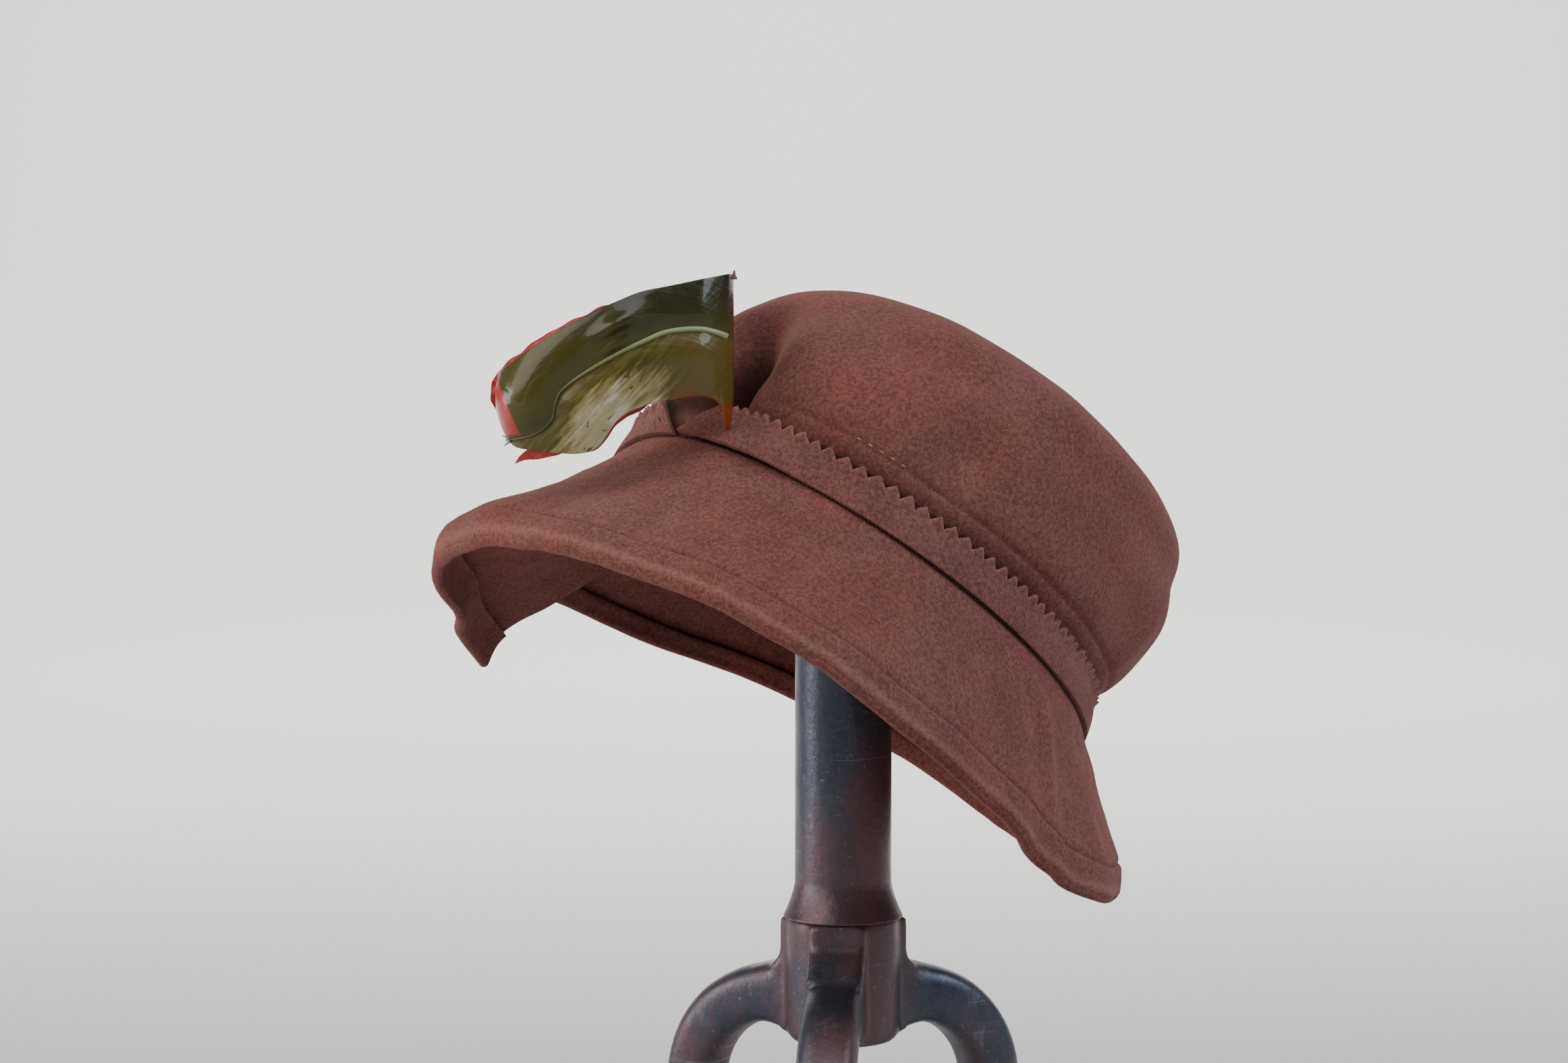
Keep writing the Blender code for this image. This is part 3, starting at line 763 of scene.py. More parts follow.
@dataclass
class Piping:
    """The thin dark cord in the seam between band and brim, plainest to see at the hat's right."""

    form: HatForm
    finish: bpy.types.Material
    radius: float = 0.00042
    deep: float = -0.0008
    proud: float = 0.0005
    steps: int = 480

    def build(self) -> bpy.types.Object:
        """Make the cord from a ring that is bent into the seam."""
        Shop.clear()
        bpy.ops.mesh.primitive_torus_add(major_segments=self.steps, minor_segments=10, major_radius=1.0,
                                         minor_radius=self.radius)
        piece = bpy.context.object
        piece.name = piece.data.name = "seam_piping"
        spots = Shop.points(piece)
        angle = np.arctan2(spots[:, 0], -spots[:, 1])
        out = self.deep + (self.proud - self.deep) * bump(turn_between(angle, 48.0), 0.0, 30.0)
        reach = self.form.ring(angle) + out + np.hypot(spots[:, 0], spots[:, 1]) - 1.0
        Shop.put(piece, self.form.place(self.form.point(angle, reach, spots[:, 2] + self.radius)))
        return Shop.finish(piece, self.finish, "dark_piping", "piping")


@dataclass
class Stitches:
    """The few pale stitches that show on the crown's tuck."""

    form: HatForm
    crown: Crown
    thread: bpy.types.Material
    first: float = 12.0
    step: float = 2.35
    count: int = 5
    length: float = 0.0021
    radius: float = 0.00019

    def build(self) -> bpy.types.Object:
        """Make the stitches: one rounded bar, copied and laid on the tuck."""
        Shop.clear()
        bpy.ops.mesh.primitive_uv_sphere_add(segments=8, ring_count=6, radius=1.0)
        piece = bpy.context.object
        piece.name = piece.data.name = "tuck_stitches"
        copies = piece.modifiers.new("Copies", "ARRAY")
        copies.use_relative_offset, copies.count = False, self.count
        Shop.apply(piece)
        shape = Shop.points(piece)
        number = np.arange(len(shape)) // (len(shape) // self.count)
        turn = self.length / self.form.half_length * 0.5
        angle = np.radians(self.first + self.step * number) + shape[:, 0] * turn
        spread = np.linspace(0.0, 1.0, 400)
        height = self.crown.tuck_share + 0.004 + shape[:, 1] * self.radius / self.form.crown_height
        height = np.interp(height, smooth_rows(self.crown.profile, spread)[:, 0], spread)
        points = self.crown.outside(angle, height, 0.0)
        out = np.stack([np.sin(angle), -np.cos(angle), np.zeros_like(angle)], -1)
        points = points + out * ((shape[:, 2] + 2.2) * self.radius - 0.0001 * np.abs(shape[:, 0]))[:, None]
        Shop.put(piece, self.form.place(points))
        return Shop.finish(piece, self.thread, "")


@dataclass
class Fuzz:
    """Loose wool fibres that stand off the felt, more of them along folded and cut edges."""

    fibre: bpy.types.Material
    longest: float = 0.0021
    shortest: float = 0.0006
    radius: float = 0.000035
    sunk: float = 0.0001
    thicker: float = 5.0

    def build(self, carrier: bpy.types.Object, count: int, seed: int, slot: str,
              edge: tuple[float, float] = (2.0, 3.0)) -> bpy.types.Object:
        """Scatter fibres over a finished piece of felt: one thin spike, copied.

        Args:
            carrier: The piece that they stand on.
            count: How many.
            seed: Which scatter.
            slot: The record's slot of their finish.
            edge: Where along the felt, by its UV map, they stand thicker.

        Returns:
            The fibres, as one piece.
        """
        mesh = carrier.data
        faces = len(mesh.polygons)
        middle, normal = np.empty(faces * 3, np.float32), np.empty(faces * 3, np.float32)
        area = np.empty(faces, np.float32)
        mesh.polygons.foreach_get("center", middle)
        mesh.polygons.foreach_get("normal", normal)
        mesh.polygons.foreach_get("area", area)
        middle, normal = middle.reshape(-1, 3).astype(float), normal.reshape(-1, 3).astype(float)
        uv = np.empty(len(mesh.loops) * 2, np.float32)
        mesh.uv_layers.active.uv.foreach_get("vector", uv)
        first_corner = np.empty(faces, np.int32)
        mesh.polygons.foreach_get("loop_start", first_corner)
        along = uv.reshape(-1, 2)[first_corner, 1]
        weight = area.astype(float) * np.where((along > edge[0]) & (along < edge[1]), self.thicker, 1.0)
        dice = np.random.default_rng(seed)
        chosen = dice.choice(faces, count, p=weight / weight.sum())
        up = normal[chosen]
        side = np.cross(up, dice.normal(size=(count, 3)))
        side /= np.linalg.norm(side, axis=1)[:, None]
        across = np.cross(up, side)
        spread = np.sqrt(area[chosen].astype(float))[:, None]
        aside, onward = dice.uniform(-0.5, 0.5, (count, 1)), dice.uniform(-0.5, 0.5, (count, 1))
        root = middle[chosen] + (side * aside + across * onward) * spread
        rise = dice.uniform(0.12, 0.75, (count, 1))
        way = side + up * rise
        way /= np.linalg.norm(way, axis=1)[:, None]
        length = self.shortest + (self.longest - self.shortest) * dice.power(0.6, (count, 1)) ** 1.5
        Shop.clear()
        bpy.ops.mesh.primitive_cone_add(vertices=3, radius1=1.0, radius2=0.0, depth=1.0)
        piece = bpy.context.object
        piece.name = piece.data.name = f"{carrier.name}_fibres"
        copies = piece.modifiers.new("Copies", "ARRAY")
        copies.use_relative_offset, copies.count = False, count
        Shop.apply(piece)
        shape = Shop.points(piece)
        which = np.arange(len(shape)) // (len(shape) // count)
        first = np.cross(way, across)
        points = (root[which] - up[which] * self.sunk + way[which] * (shape[:, 2:] + 0.5) * length[which]
                  + (across[which] * shape[:, :1] - first[which] * shape[:, 1:2]) * self.radius)
        Shop.put(piece, points)
        return Shop.finish(piece, self.fibre, slot)


class Side(Enum):
    """Which of the two brims."""

    FRONT = "front"
    BACK = "back"


@dataclass
class Brim:
    """A brim of felt with its hem folded under and stitched."""

    form: HatForm
    felt: bpy.types.Material
    side: Side
    depth: float
    table: Rows
    bulge: float = 0.0030
    hem: float = 0.0110
    roll: float = 0.0005
    columns: int = 360

    def rows_along(self) -> np.ndarray:
        """Shares along the felt, closer together in the fold of the hem."""
        return np.concatenate([np.linspace(0.0, 0.44, 34), np.linspace(0.44, 0.56, 34)[1:],
                               np.linspace(0.56, 0.85, 16)[1:], np.linspace(0.85, 1.0, 14)[1:]])

    def surface(self, across: np.ndarray, along: np.ndarray) -> np.ndarray:
        """Points of the felt's middle: it runs out to the hem, turns under there and comes back."""
        table = smooth_rows(self.table, across)
        angle, share, fall, bow = (table[..., number] for number in range(4))
        layer = table[..., 4] if table.shape[-1] > 4 else np.zeros_like(angle)
        angle, depth, bulge = np.radians(angle), share * self.depth, bow * self.bulge
        fold = 0.5 * FELT + 0.5 * CLEARANCE
        out, under = 0.56, 0.85
        turn = pi * np.clip((along - out) / (under - out), 0.0, 1.0)
        back = np.clip((along - under) / (1.0 - under), 0.0, 1.0)
        part = np.clip(along / out, 0.0, 1.0) + fold / depth * np.sin(turn) - self.hem / depth * back
        lift = -fold * (1.0 - np.cos(turn))
        start = 3.0 * FELT * np.where(layer > 0.0, ramp(np.degrees(angle), 256.5, 259.5), 0.0)
        run = start + (depth - fold - start) * part
        over = np.where(layer > 0.0, ramp(run, 0.0, 3.0 * FELT), 1.0)
        lift = lift + bulge * np.sin(pi * np.minimum(part, 1.0) ** 3.9) + (FELT + CLEARANCE) * layer * over - 0.5 * FELT
        lift = lift + self.detail(np.degrees(angle), run, depth, along <= out)
        slope = np.radians(fall)
        reach = self.form.ring(angle) + run * np.cos(slope) + lift * np.sin(slope)
        return self.form.point(angle, reach, -run * np.sin(slope) + lift * np.cos(slope))

    def detail(self, angle: np.ndarray, run: np.ndarray, depth: np.ndarray, outer: np.ndarray) -> np.ndarray:
        """Low relief of the brim: the stitched ledge along the hem, slow waves and a soft vertical ridge."""
        inward = depth - run + 0.0006 * waves((np.radians(angle) * 0.12, 0.0 * run), 21, 5, 0.02, 0.06)
        ledge = self.hem - 0.0016
        line = -0.0006 * bump(inward, ledge + 0.0009, 0.0009) * outer
        roll = self.roll * ramp(inward, ledge + 0.0008, ledge - 0.0012) * outer
        soft = 0.0007 * waves((np.radians(angle) * 0.11, run), 11 if self.side is Side.FRONT else 12, 6, 0.03, 0.09)
        fine = 0.00025 * waves((np.radians(angle) * 0.11, run), 14, 12, 0.008, 0.02)
        crease = np.zeros_like(run)
        if self.side is Side.FRONT:
            middle = 71.0 + 13.0 * np.clip(run / 0.06, 0.0, 1.0)
            crease = 0.0020 * np.exp(-((angle - middle) / 3.2) ** 2) * ramp(run, 0.006, 0.02)
        fade = ramp(run, 0.002, 0.010)
        return (soft * 0.8 + crease + fine) * fade + line + roll

    def build(self) -> bpy.types.Object:
        """Make the brim."""
        spaced = self.rows_along()
        piece = Shop.grid(f"felt_{self.side.value}_brim", self.columns, len(spaced) - 1)
        across, along = Shop.shares(piece)
        along = spaced[np.rint(along * (len(spaced) - 1)).astype(int)]
        Shop.put(piece, self.form.place(self.surface(across, along)))
        Shop.wall(piece, FELT, 0.0006)
        # The rounded edge of the hem is painted paler, partly pale loose fibres and partly a painted highlight, strong
        # on the front brim and faint on the back one.
        pale = 0.42 if self.side is Side.FRONT else 0.10
        Shop.paint(piece, "rim", lambda across, along: pale * bump(along, 0.66, 0.035))
        # Painted shade: on the back brim the end of the hem, folded under towards its raw edge, is darkened through the
        # deep attribute.
        dark = 0.0 if self.side is Side.FRONT else 0.55
        Shop.paint(piece, "deep", lambda across, along: dark * ramp(along, 0.93, 1.0))
        Shop.finish(piece, self.felt, "brick_felt", f"{self.side.value}_brim")
        return piece


# Brim tables: angle in degrees, depth as a share of the greatest, fall in degrees, share of the bulge, and for the
# back brim how it lies on the front one: -1 under it, 1 over it
FRONT_TABLE: Rows = (
    (-101.2, 1.030, 63.0, 1.9), (-88.0, 0.972, 64.4, 2.2), (-75.0, 0.882, 66.3, 3.0), (-45.0, 0.905, 62.1, 2.3),
    (-15.0, 0.835, 62.6, 0.7),
    (15.0, 0.743, 61.0, 0.6), (45.0, 0.750, 62.6, 0.5), (70.0, 0.748, 63.4, 0.5), (84.0, 0.803, 61.9, 0.6),
    (96.0, 0.810, 51.2, 0.7), (108.0, 0.709, 46.6, 0.6))
FRONT_DEPTH, BACK_DEPTH, BACK_HEM = 0.0760, 0.0470, 0.0066
HEM_EDGE = (0.35, 0.80)
BACK_TABLE: Rows = (
    (99.0, 0.95, 66.0, 0.0, -1.0), (110.0, 0.88, 66.0, 0.0, -1.0), (125.0, 0.79, 65.0, 0.0, 0.0),
    (150.0, 0.600, 64.0, 0.0, 0.0), (180.0, 0.375, 63.0, 0.0, 0.0), (210.0, 0.435, 63.0, 0.2, 0.0),
    (235.0, 0.715, 61.0, 0.6, 0.2), (252.0, 0.935, 58.0, 1.0, 1.0), (266.0, 1.05, 57.0, 1.0, 1.0))


# Leaf

@dataclass(frozen=True)
class LeafFinish:
    """A glossy leaf, dark olive above its midrib, variegated with cream below it, red and orange at two edges.

    The piece carries three attributes: along (0 at the fold to 1 at the tip), height and side, which is how far a
    point lies above the midrib, all as shares of the leaf's size.
    """

    name: str
    top: tuple[float, float, float] = (0.026, 0.019, 0.004)
    umber: tuple[float, float, float] = (0.118, 0.078, 0.011)
    olive: tuple[float, float, float] = (0.068, 0.062, 0.006)
    moss: tuple[float, float, float] = (0.120, 0.092, 0.014)
    straw: tuple[float, float, float] = (0.240, 0.180, 0.042)
    cream: tuple[float, float, float] = (0.41, 0.355, 0.19)
    milk: tuple[float, float, float] = (0.56, 0.53, 0.40)
    fleck: tuple[float, float, float] = (0.075, 0.030, 0.010)
    red: tuple[float, float, float] = (0.46, 0.040, 0.044)
    orange: tuple[float, float, float] = (0.24, 0.040, 0.005)

    def material(self) -> bpy.types.Material:
        """Make the material.

        Returns:
            The material.
        """
        n = Nodes(self.name)
        along, height, side = (n.node("ShaderNodeAttribute", attribute_name=name).outputs["Fac"]
                               for name in ("along", "height", "side"))

        def streaks(slope: float, fine: float, long: float, detail: float, rough: float) -> bpy.types.NodeSocket:
            """Noise drawn out along lines that rise by slope over the leaf's length."""
            made = n.node("ShaderNodeCombineXYZ")
            n.link(n.math("MULTIPLY", n.math("MULTIPLY_ADD", along, slope, height), fine), made.inputs[0])
            n.link(n.math("MULTIPLY", n.math("MULTIPLY_ADD", height, -slope, along), long), made.inputs[1])
            return n.noise(1.0, detail, rough, made.outputs[0])

        slanted = streaks(1.45, 30.0, 3.0, 5.0, 0.62)
        broad = streaks(1.45, 9.0, 2.4, 3.0, 0.55)
        swept = n.node("ShaderNodeCombineXYZ")
        n.link(n.math("MULTIPLY", n.math("MULTIPLY_ADD", along, -0.45, side), 34.0), swept.inputs[0])
        n.link(n.math("MULTIPLY", along, 1.6), swept.inputs[1])
        veins = n.noise(1.0, 2.0, 0.5, swept.outputs[0])
        cloud = n.noise(60.0, 4.0, 0.6)
        upper = n.mix(n.span(n.math("MULTIPLY_ADD", cloud, 0.5, n.math("MULTIPLY", along, 0.62)), 0.42, 0.86),
                      self.top, self.olive)
        lit = n.math("MULTIPLY_ADD", n.math("SUBTRACT", 0.26, side), 0.9, n.math("MULTIPLY", cloud, 0.5))
        upper = n.mix(n.span(lit, 0.22, 0.62), upper, self.olive)
        veined = n.math("MULTIPLY", n.span(veins, 0.60, 0.68, 0.0, 0.40), n.span(side, 0.0, 0.10))
        upper = n.mix(veined, upper, self.moss)
        low = n.math("SUBTRACT", 0.0, side)
        lower = n.mix(n.span(slanted, 0.44, 0.56), self.olive, self.moss)
        middle = n.math("SUBTRACT", 1.0, n.math("ABSOLUTE", n.math("MULTIPLY_ADD", along, 2.2, -1.25)))
        pale = n.math("MULTIPLY_ADD", slanted, 0.95, n.math("MULTIPLY_ADD", broad, 0.55, n.math("MULTIPLY", low, 1.25)))
        pale = n.math("SUBTRACT", n.math("MULTIPLY_ADD", middle, 0.42, pale), n.span(along, 0.36, 0.12, 0.0, 0.42))
        pale = n.math("SUBTRACT", pale, n.span(side, -0.15, -0.03, 0.0, 0.34))
        lower = n.mix(n.span(along, 0.34, 0.10, 0.0, 0.8), lower, self.umber)
        lower = n.mix(n.span(pale, 0.98, 1.22), lower, self.straw)
        lower = n.mix(n.span(pale, 1.14, 1.42), lower, self.cream)
        lower = n.mix(n.math("MULTIPLY", n.span(broad, 0.46, 0.62), n.span(pale, 1.28, 1.50)), lower, self.milk)
        spots = streaks(1.45, 22.0, 9.0, 2.0, 0.5)
        flecked = n.math("MULTIPLY", n.span(spots, 0.64, 0.69), n.span(pale, 0.98, 1.12, 0.0, 0.85))
        lower = n.mix(flecked, lower, self.fleck)
        colour = n.mix(n.span(n.math("MULTIPLY_ADD", slanted, -0.05, side), -0.050, -0.022), lower, upper)
        edge = n.math("SUBTRACT", height, n.span(along, 0.24, 0.0, 0.19, 0.10))
        lobe = n.span(n.math("MULTIPLY_ADD", height, -0.31, along), 0.864, 0.874)
        lobe = n.math("MULTIPLY", lobe, n.math("MULTIPLY", n.span(height, -0.014, 0.0), n.span(height, 0.31, 0.27)))
        colour = n.mix(lobe, colour, self.red)
        low_edge = n.span(n.math("MULTIPLY_ADD", slanted, 0.10, edge), 0.17, 0.05)
        warm = n.math("MULTIPLY", n.span(along, 0.30, 0.14), low_edge)
        colour = n.mix(warm, colour, self.orange)
        n.link(colour, n.shader.inputs["Base Color"])
        n.relief((n.noise(45.0, 3.0, 0.6), 0.0010), (veins, 0.00016), (slanted, 0.00014))
        n.set(Roughness=0.28, Specular_IOR_Level=0.32, Coat_Weight=0.45, Coat_Roughness=0.08)
        return n.material


@dataclass
class Leaf:
    """The ornament: a cupped green leaf folded round its stalk, a red bract behind it, a pale midrib."""

    form: HatForm
    crown: Crown
    angle: float = -9.2
    foot: float = 0.32
    band_height: float = 0.0140
    length: float = 0.0728
    width: float = 0.0538
    cup: float = 0.0060
    thickness: float = 0.0008
    bract_thickness: float = 0.0006
    bract_set: float = 0.0022
    midrib_set: float = 0.0005
    midrib_width: float = 0.0012
    groove: float = 0.0016
    blade: Rows = (
        (0.010, 0.190, 0.360, 0.850), (-0.012, 0.080, 0.250, 0.890), (0.006, 0.000, 0.010, 0.895),
        (0.045, -0.060, 0.160, 0.885), (0.115, -0.110, 0.208, 0.866), (0.250, -0.170, 0.188, 0.827),
        (0.360, -0.210, 0.154, 0.796), (0.457, -0.235, 0.085, 0.743), (0.540, -0.245, -0.069, 0.693),
        (0.620, -0.245, -0.108, 0.636), (0.716, -0.235, -0.104, 0.565), (0.812, -0.210, -0.093, 0.483),
        (0.894, -0.170, -0.069, 0.403), (0.940, -0.125, 0.020, 0.349), (0.968, -0.075, 0.143, 0.275))
    bract: Rows = (
        (0.264, 0.230, 0.760), (0.360, 0.138, 0.770), (0.457, 0.065, 0.735), (0.540, -0.080, 0.700),
        (0.620, -0.090, 0.650), (0.716, -0.080, 0.588), (0.812, -0.060, 0.508), (0.880, -0.012, 0.438),
        (0.940, 0.055, 0.378), (0.994, 0.180, 0.285))
    flake: Rows = (
        (0.660, -0.075, -0.060), (0.700, -0.112, -0.055), (0.760, -0.136, -0.060), (0.820, -0.150, -0.075),
        (0.865, -0.160, -0.118), (0.892, -0.168, -0.160))
    line: Rows = (
        (0.000, 0.535, 1.15), (0.045, 0.562, 1.10), (0.114, 0.585, 1.0), (0.190, 0.584, 0.95), (0.266, 0.568, 0.85),
        (0.335, 0.530, 0.80), (0.445, 0.460, 0.62), (0.556, 0.374, 0.50), (0.640, 0.300, 0.36), (0.696, 0.232, 0.26),
        (0.718, 0.150, 0.20), (0.726, 0.090, 0.17), (0.762, 0.032, 0.15), (0.812, -0.007, 0.15), (0.870, -0.027, 0.15),
        (0.931, -0.040, 0.17))
    fold_rows: int = 2

    def stalk(self) -> np.ndarray:
        """Where the stalk's end lies on the band, in the part's frame."""
        angle, height = np.array([radians(self.angle)]), np.array([self.foot * self.band_height])
        out = self.crown.reach_at(angle, height) + 0.0003 + 0.0006 + 2.0 * FELT + 3.0 * CLEARANCE + 0.5 * self.thickness
        return self.form.place(self.form.point(angle, out, height))[0]

    def side_of(self, along: np.ndarray, height: np.ndarray) -> np.ndarray:
        """How far a point lies above the midrib's line, as a share of the leaf's width; below it, negative."""
        line = smooth_rows(self.line, np.linspace(0.0, 1.0, 160))[:, :2] * (self.length / self.width, 1.0)
        spots = np.stack([along * self.length / self.width, height], -1)
        gap = spots[:, None] - line[None]
        nearest = np.hypot(gap[..., 0], gap[..., 1]).argmin(1)
        way = np.gradient(line, axis=0)[nearest]
        offset = gap[np.arange(len(spots)), nearest]
        turned = way[:, 0] * offset[:, 1] - way[:, 1] * offset[:, 0]
        return np.sign(turned) * np.hypot(offset[:, 0], offset[:, 1])

    def blade_points(self, row: np.ndarray, across: np.ndarray) -> np.ndarray:
        """Points of the blade's middle from rows of its table and shares across."""
        along, back, low, high = np.moveaxis(row, -1, 0)
        edge = (2.0 * across - 1.0) ** 2
        y = back * self.length + self.cup * edge * np.minimum(1.0, 2.0 * np.abs(back) + 0.2)
        height = low + (high - low) * across
        side = self.side_of(np.ravel(along), np.ravel(height)).reshape(np.shape(height))
        inside = ramp(along, 0.02, 0.12)
        y = y - inside * self.groove * (1.0 - bump(side, 0.0, 0.07))
        y = y - inside * 0.0030 * ramp(side, -0.16, -0.46) * ramp(along, 0.25, 0.45)
        y = y - 0.0016 * bump(side, 0.24, 0.11) * ramp(along, 0.15, 0.4)
        y = y - 0.0026 * bump(along, 0.46, 0.10) * bump(side, 0.15, 0.045)
        y = y - 0.0014 * bump(along, 0.47, 0.06) * bump(side, 0.050, 0.030)
        return np.stack([-along * self.length, y, height * self.width], -1)

    def on_blade(self, along: np.ndarray, height: np.ndarray, front: float) -> np.ndarray:
        """Points that far in front of the blade, at shares of the leaf's length and width."""
        shares = np.linspace(self.fold_rows / (len(self.blade) - 1), 1.0, 400)
        starts = smooth_rows(self.blade, shares)[:, 0]
        row = smooth_rows(self.blade, np.interp(along, starts, shares))
        points = self.blade_points(row, (height - row[..., 2]) / (row[..., 3] - row[..., 2]))
        return np.stack([-along * self.length, points[..., 1] - front, points[..., 2]], -1)

    def mark(self, piece: bpy.types.Object, stalk: np.ndarray) -> None:
        """Store each point's place on the leaf in attributes for the finish."""
        spots = Shop.points(piece) - stalk
        along, height = -spots[:, 0] / self.length, spots[:, 2] / self.width
        for name, values in (("along", along), ("height", height), ("side", self.side_of(along, height))):
            Shop.store(piece, name, values)

    def backing(self, name: str, table: Rows, set_back: float, stalk: np.ndarray, red: bpy.types.Material,
                *nodes: str) -> None:
        """Make a red sheet behind the blade."""
        piece = Shop.grid(name, 30, 90)
        across, along = Shop.shares(piece)
        at, low, high = np.moveaxis(smooth_rows(table, along), -1, 0)
        height = low + (high - low) * across
        wavy = 0.005 * waves((at, height), 31, 8, 0.03, 0.12)
        Shop.put(piece, self.on_blade(at + 0.3 * wavy, height + wavy, -set_back) + stalk)
        Shop.wall(piece, self.bract_thickness, 0.0002)
        Shop.finish(piece, red, "red_bract", *nodes)

    def build(self, green: bpy.types.Material, red: bpy.types.Material, pale: bpy.types.Material) -> None:
        """Make the pieces."""
        stalk = self.stalk()
        blade = Shop.grid("leaf_blade", 90, 220)
        across, along = Shop.shares(blade)
        Shop.put(blade, self.blade_points(smooth_rows(self.blade, along), across) + stalk)
        Shop.wall(blade, self.thickness, 0.0002)
        self.mark(blade, stalk)
        Shop.finish(blade, green, "glossy_leaf", "leaf")
        self.backing("red_bract", self.bract, self.bract_set, stalk, red, "leaf_bract")
        self.backing("red_flake", self.flake, 0.0014, stalk, red)

        rib = Shop.grid("pale_midrib", 10, 200)
        across, along = Shop.shares(rib)
        at, height, width = np.moveaxis(smooth_rows(self.line, 0.02 + 0.98 * along), -1, 0)
        spread = np.linspace(0.0, 1.0, 400)
        step = np.gradient(smooth_rows(self.line, spread)[:, :2], axis=0) * (self.length, self.width)
        step /= np.hypot(step[:, 0], step[:, 1])[:, None]
        way = np.stack([np.interp(0.02 + 0.98 * along, spread, step[:, place]) for place in (0, 1)])
        half = (across - 0.5) * width * self.midrib_width
        at, height = at - way[1] * half / self.length, height + way[0] * half / self.width
        points = self.on_blade(np.maximum(at, 0.0), height, self.midrib_set)
        points[:, 1] -= 0.0005 * np.cos((across - 0.5) * pi) * width
        Shop.put(rib, points + stalk)
        Shop.wall(rib, self.bract_thickness, 0.0)
        self.mark(rib, stalk)
        Shop.finish(rib, pale, "pale_midrib", "leaf_midrib")
        thorn = plain_gloss("dark thorn", (0.085, 0.022, 0.020), 0.4, 300.0)
        self.spike("leaf_thorn", stalk, thorn, (-0.018, 0.866), (-0.021, 0.918), 0.0011, 0.0009)
        self.spike("tip_fork_upper", stalk, pale, (0.905, -0.036), (0.960, -0.022), 0.0007, 0.0006)
        self.spike("tip_fork_lower", stalk, pale, (0.905, -0.036), (0.944, -0.078), 0.0007, 0.0006)

    def spike(self, name: str, stalk: np.ndarray, finish: bpy.types.Material, start: tuple[float, float],
              end: tuple[float, float], radius: float, proud: float) -> None:
        """A small pointed spike on the blade.

        Args:
            name: The piece's name.
            stalk: Where the stalk's end lies.
            finish: Its finish.
            start: Along and height of its root.
            end: Along and height of its point.
            radius: The radius of its root.
            proud: How far in front of the blade it lies.
        """
        spots = [self.on_blade(np.array([max(at, 0.0)]), np.array([height]), proud)[0] for at, height in (start, end)]
        root, tip = (np.array([-at * self.length, spot[1], height * self.width]) + stalk
                     for spot, (at, height) in zip(spots, (start, end)))
        Shop.clear()
        bpy.ops.mesh.primitive_cone_add(vertices=12, radius1=radius, radius2=0.1 * radius, depth=1.0)
        piece = bpy.context.object
        piece.name = piece.data.name = name
        Shop.edit(piece)
        bpy.ops.mesh.subdivide(number_cuts=4)
        bpy.ops.object.mode_set(mode="OBJECT")
        way = Vector(tip - root)
        shape = Shop.points(piece)
        along = shape[:, 2:] + 0.5
        shape[:, :2] *= 1.0 + 0.15 * np.sin(9.0 * along)
        turned = np.array(way.to_track_quat("Z", "X").to_matrix())
        shape[:, 2] = along[:, 0] * way.length
        Shop.put(piece, shape @ turned.T + root)
        self.mark(piece, stalk)
        Shop.finish(piece, finish, "red_bract" if name == "leaf_thorn" else "pale_midrib")


@dataclass(frozen=True)
class RibFinish:
    """The midrib: pale green where it is thick, darkening to brown where it is thin."""

    name: str

    def material(self) -> bpy.types.Material:
        """Make the material, which reads the leaf's along attribute.

        Returns:
            The material.
        """
        n = Nodes(self.name)
        along = n.node("ShaderNodeAttribute", attribute_name="along").outputs["Fac"]
        tone = n.math("MULTIPLY_ADD", n.noise(500.0, 3.0, 0.6), 0.10, n.math("SUBTRACT", along, 0.05))
        colour = n.ramp(tone, ((0.05, (0.30, 0.33, 0.19)), (0.35, (0.26, 0.30, 0.13)), (0.60, (0.15, 0.17, 0.05)),
                               (0.74, (0.030, 0.034, 0.010)), (0.90, (0.10, 0.085, 0.05))))
        n.link(colour, n.shader.inputs["Base Color"])
        n.relief((n.noise(700.0, 2.0, 0.5), 0.0001))
        n.set(Roughness=0.34)
        return n.material


# Stand

